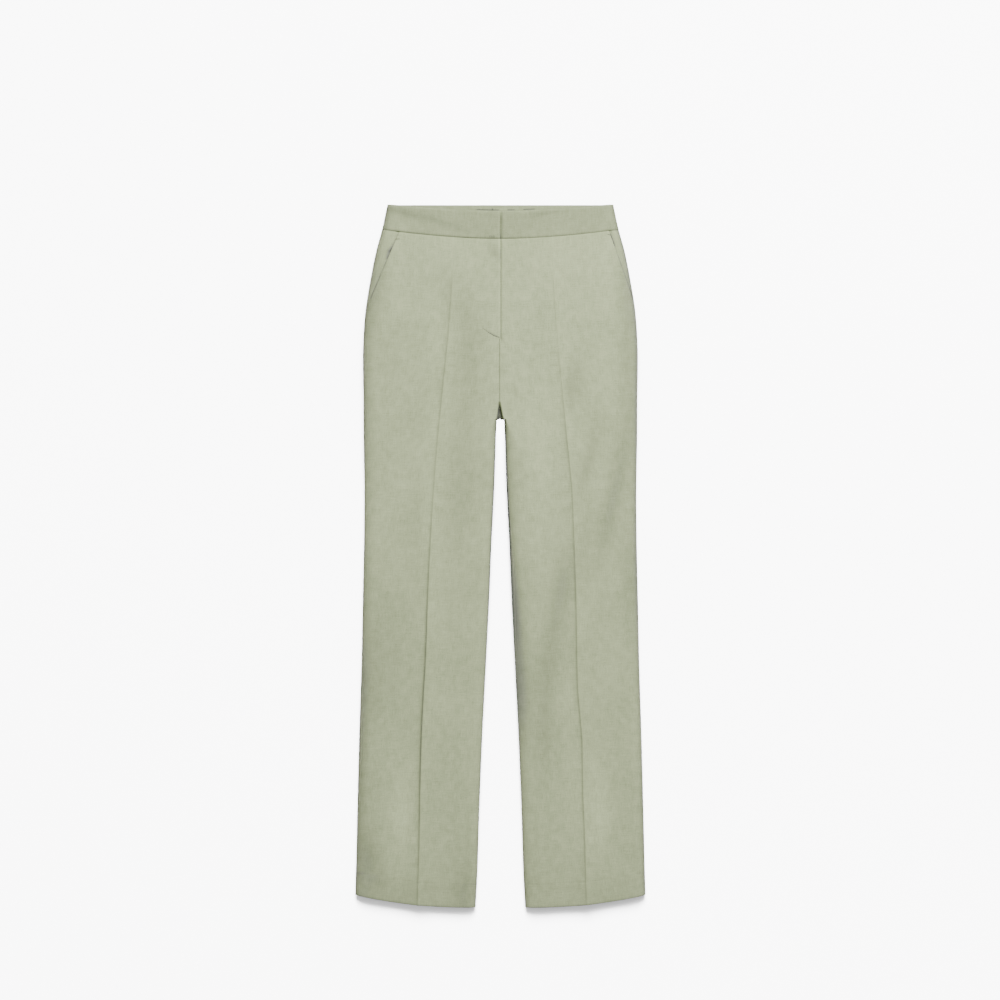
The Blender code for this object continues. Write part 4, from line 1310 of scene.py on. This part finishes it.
COIL_PITCH, COIL_X, COIL_WIDE, COIL_THICK = 0.0015, -0.0068, 0.0036, 0.0009
COIL_MARGIN, COIL_LIFT = 0.003, 0.0002  # bare tape at both ends, and its height on the tape
bm = bmesh.new()
low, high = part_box("zip_tape")
for k in range(int((high[1] - low[1] - 2 * COIL_MARGIN) / COIL_PITCH)):
    drop = OUTSEAM / 2 - high[1] + COIL_MARGIN + k * COIL_PITCH
    tape = float(top_height("right", np.array([-COIL_X]), np.array([drop]))[0]) - ZIP_LAYERS * UNDER
    middle = Vector((COIL_X, OUTSEAM / 2 - drop, tape + COIL_LIFT))
    half = Vector((COIL_WIDE / 2, 0.0, 0.0))
    stitch(bm, middle - half, middle + half, COIL_THICK)
finished("zip_coil", bm, zip_coil_nylon)

for node_name in ("zip_slider", "waist_hook"):
    for holder in frame["nodes"][node_name].material_slots:
        holder.material = plated_metal
    print(node_name, "keeps its solid and gets plated metal")

# %% [markdown]
# ## Camera, light and floor
#
# The camera hangs straight above, with a long lens so that the legs stay parallel. The
# light is a large softbox past the waist and a little to the wearer's left, so slopes
# that face the hem or the right leg fall into soft shade, and the hems throw a shadow.

# %% Camera
PIXELS, PIXEL = 1000, 0.0015  # the frame is 1000 pixels across, each 1.5 mm on the floor
LENS, SENSOR = 85.0, 36.0
OUTLINE_HEIGHT = 0.005  # the outline's widest points lie about this high, so they set the scale
CAMERA_X, CAMERA_Y = -0.0006, 0.0838
camera_data = bpy.data.cameras.new("camera")
camera_data.lens, camera_data.sensor_width = LENS, SENSOR
camera = bpy.data.objects.new("camera", camera_data)
bpy.context.scene.collection.objects.link(camera)
reach = PIXELS * PIXEL * LENS / SENSOR
camera.location = (CAMERA_X, CAMERA_Y, OUTLINE_HEIGHT + reach)
camera_data.clip_end = 20.0
bpy.context.scene.camera = camera
print(f"camera {reach:.2f} m above the cloth")

# %% Light
world = bpy.data.worlds.new("studio")
world.use_nodes = True
set_up(world.node_tree, world.node_tree.nodes["Background"], Color=(1.0, 1.0, 1.0, 1.0), Strength=0.14)
bpy.context.scene.world = world


def lamp(name, kind, place, aim, energy):
    """A lamp that looks at a point."""
    light = bpy.data.lights.new(name, kind)
    light.energy = energy
    made = bpy.data.objects.new(name, light)
    made.location = place
    made.rotation_euler = (Vector(aim) - Vector(place)).to_track_quat("-Z", "Y").to_euler()
    bpy.context.scene.collection.objects.link(made)
    return made


softbox = lamp("softbox", "AREA", (0.75, 1.7, 2.75), (0.0, 0.2, 0.0), 182.5)
softbox.data.shape = "SQUARE"
softbox.data.size = 1.1

# %% [markdown]
# ## A pale floor
#
# A catalogue's floor is almost white, much brighter than the cloth on it. So it has
# lamps of its own, linked to the floor alone: a low one past the waist, which throws the
# shadow of the hems, and a wide soft one above. A tiny third one fills the deep corner at
# the fork. The trousers still stop their light, so the floor keeps a true shadow, but they
# aren't lit by it.

# %% Floor and its lamps
floor_mesh = bpy.data.meshes.new("floor")
bm = bmesh.new()
bmesh.ops.create_grid(bm, x_segments=2, y_segments=2, size=6.0)
bmesh.ops.translate(bm, verts=bm.verts, vec=(0.0, 0.0, -0.0004))
bm.to_mesh(floor_mesh)
bm.free()
floor = bpy.data.objects.new("floor", floor_mesh)
floor.visible_diffuse = False
bpy.context.scene.collection.objects.link(floor)
paper, tree, shader = new_material("paper")
set_up(tree, shader, Base_Color=(0.94, 0.94, 0.945, 1.0), Roughness=0.9, Specular_IOR_Level=0.0)
floor_mesh.materials.append(paper)

floor_lamp = lamp("floor_lamp", "SUN", (0.0, 1.0, 0.76), (0.0, 0.0, 0.0), 39.8)
floor_lamp.data.angle = math.radians(28.0)
floor_sky = lamp("floor_sky", "SUN", (0.0, 0.2, 1.0), (0.0, 0.0, 0.0), 3.1)
floor_sky.data.angle = math.radians(120.0)
below_fork = (-0.0004, OUTSEAM / 2 - FORK - 0.004, 0.026)
fork_lamp = lamp("fork_lamp", "POINT", below_fork, (0.0, 0.0, 0.0), 0.30)
fork_lamp.data.shadow_soft_size = 0.004
only_floor = bpy.data.collections.new("lit by the floor lamps")
only_floor.objects.link(floor)
for floor_light in (floor_lamp, floor_sky, fork_lamp):
    floor_light.light_linking.receiver_collection = only_floor
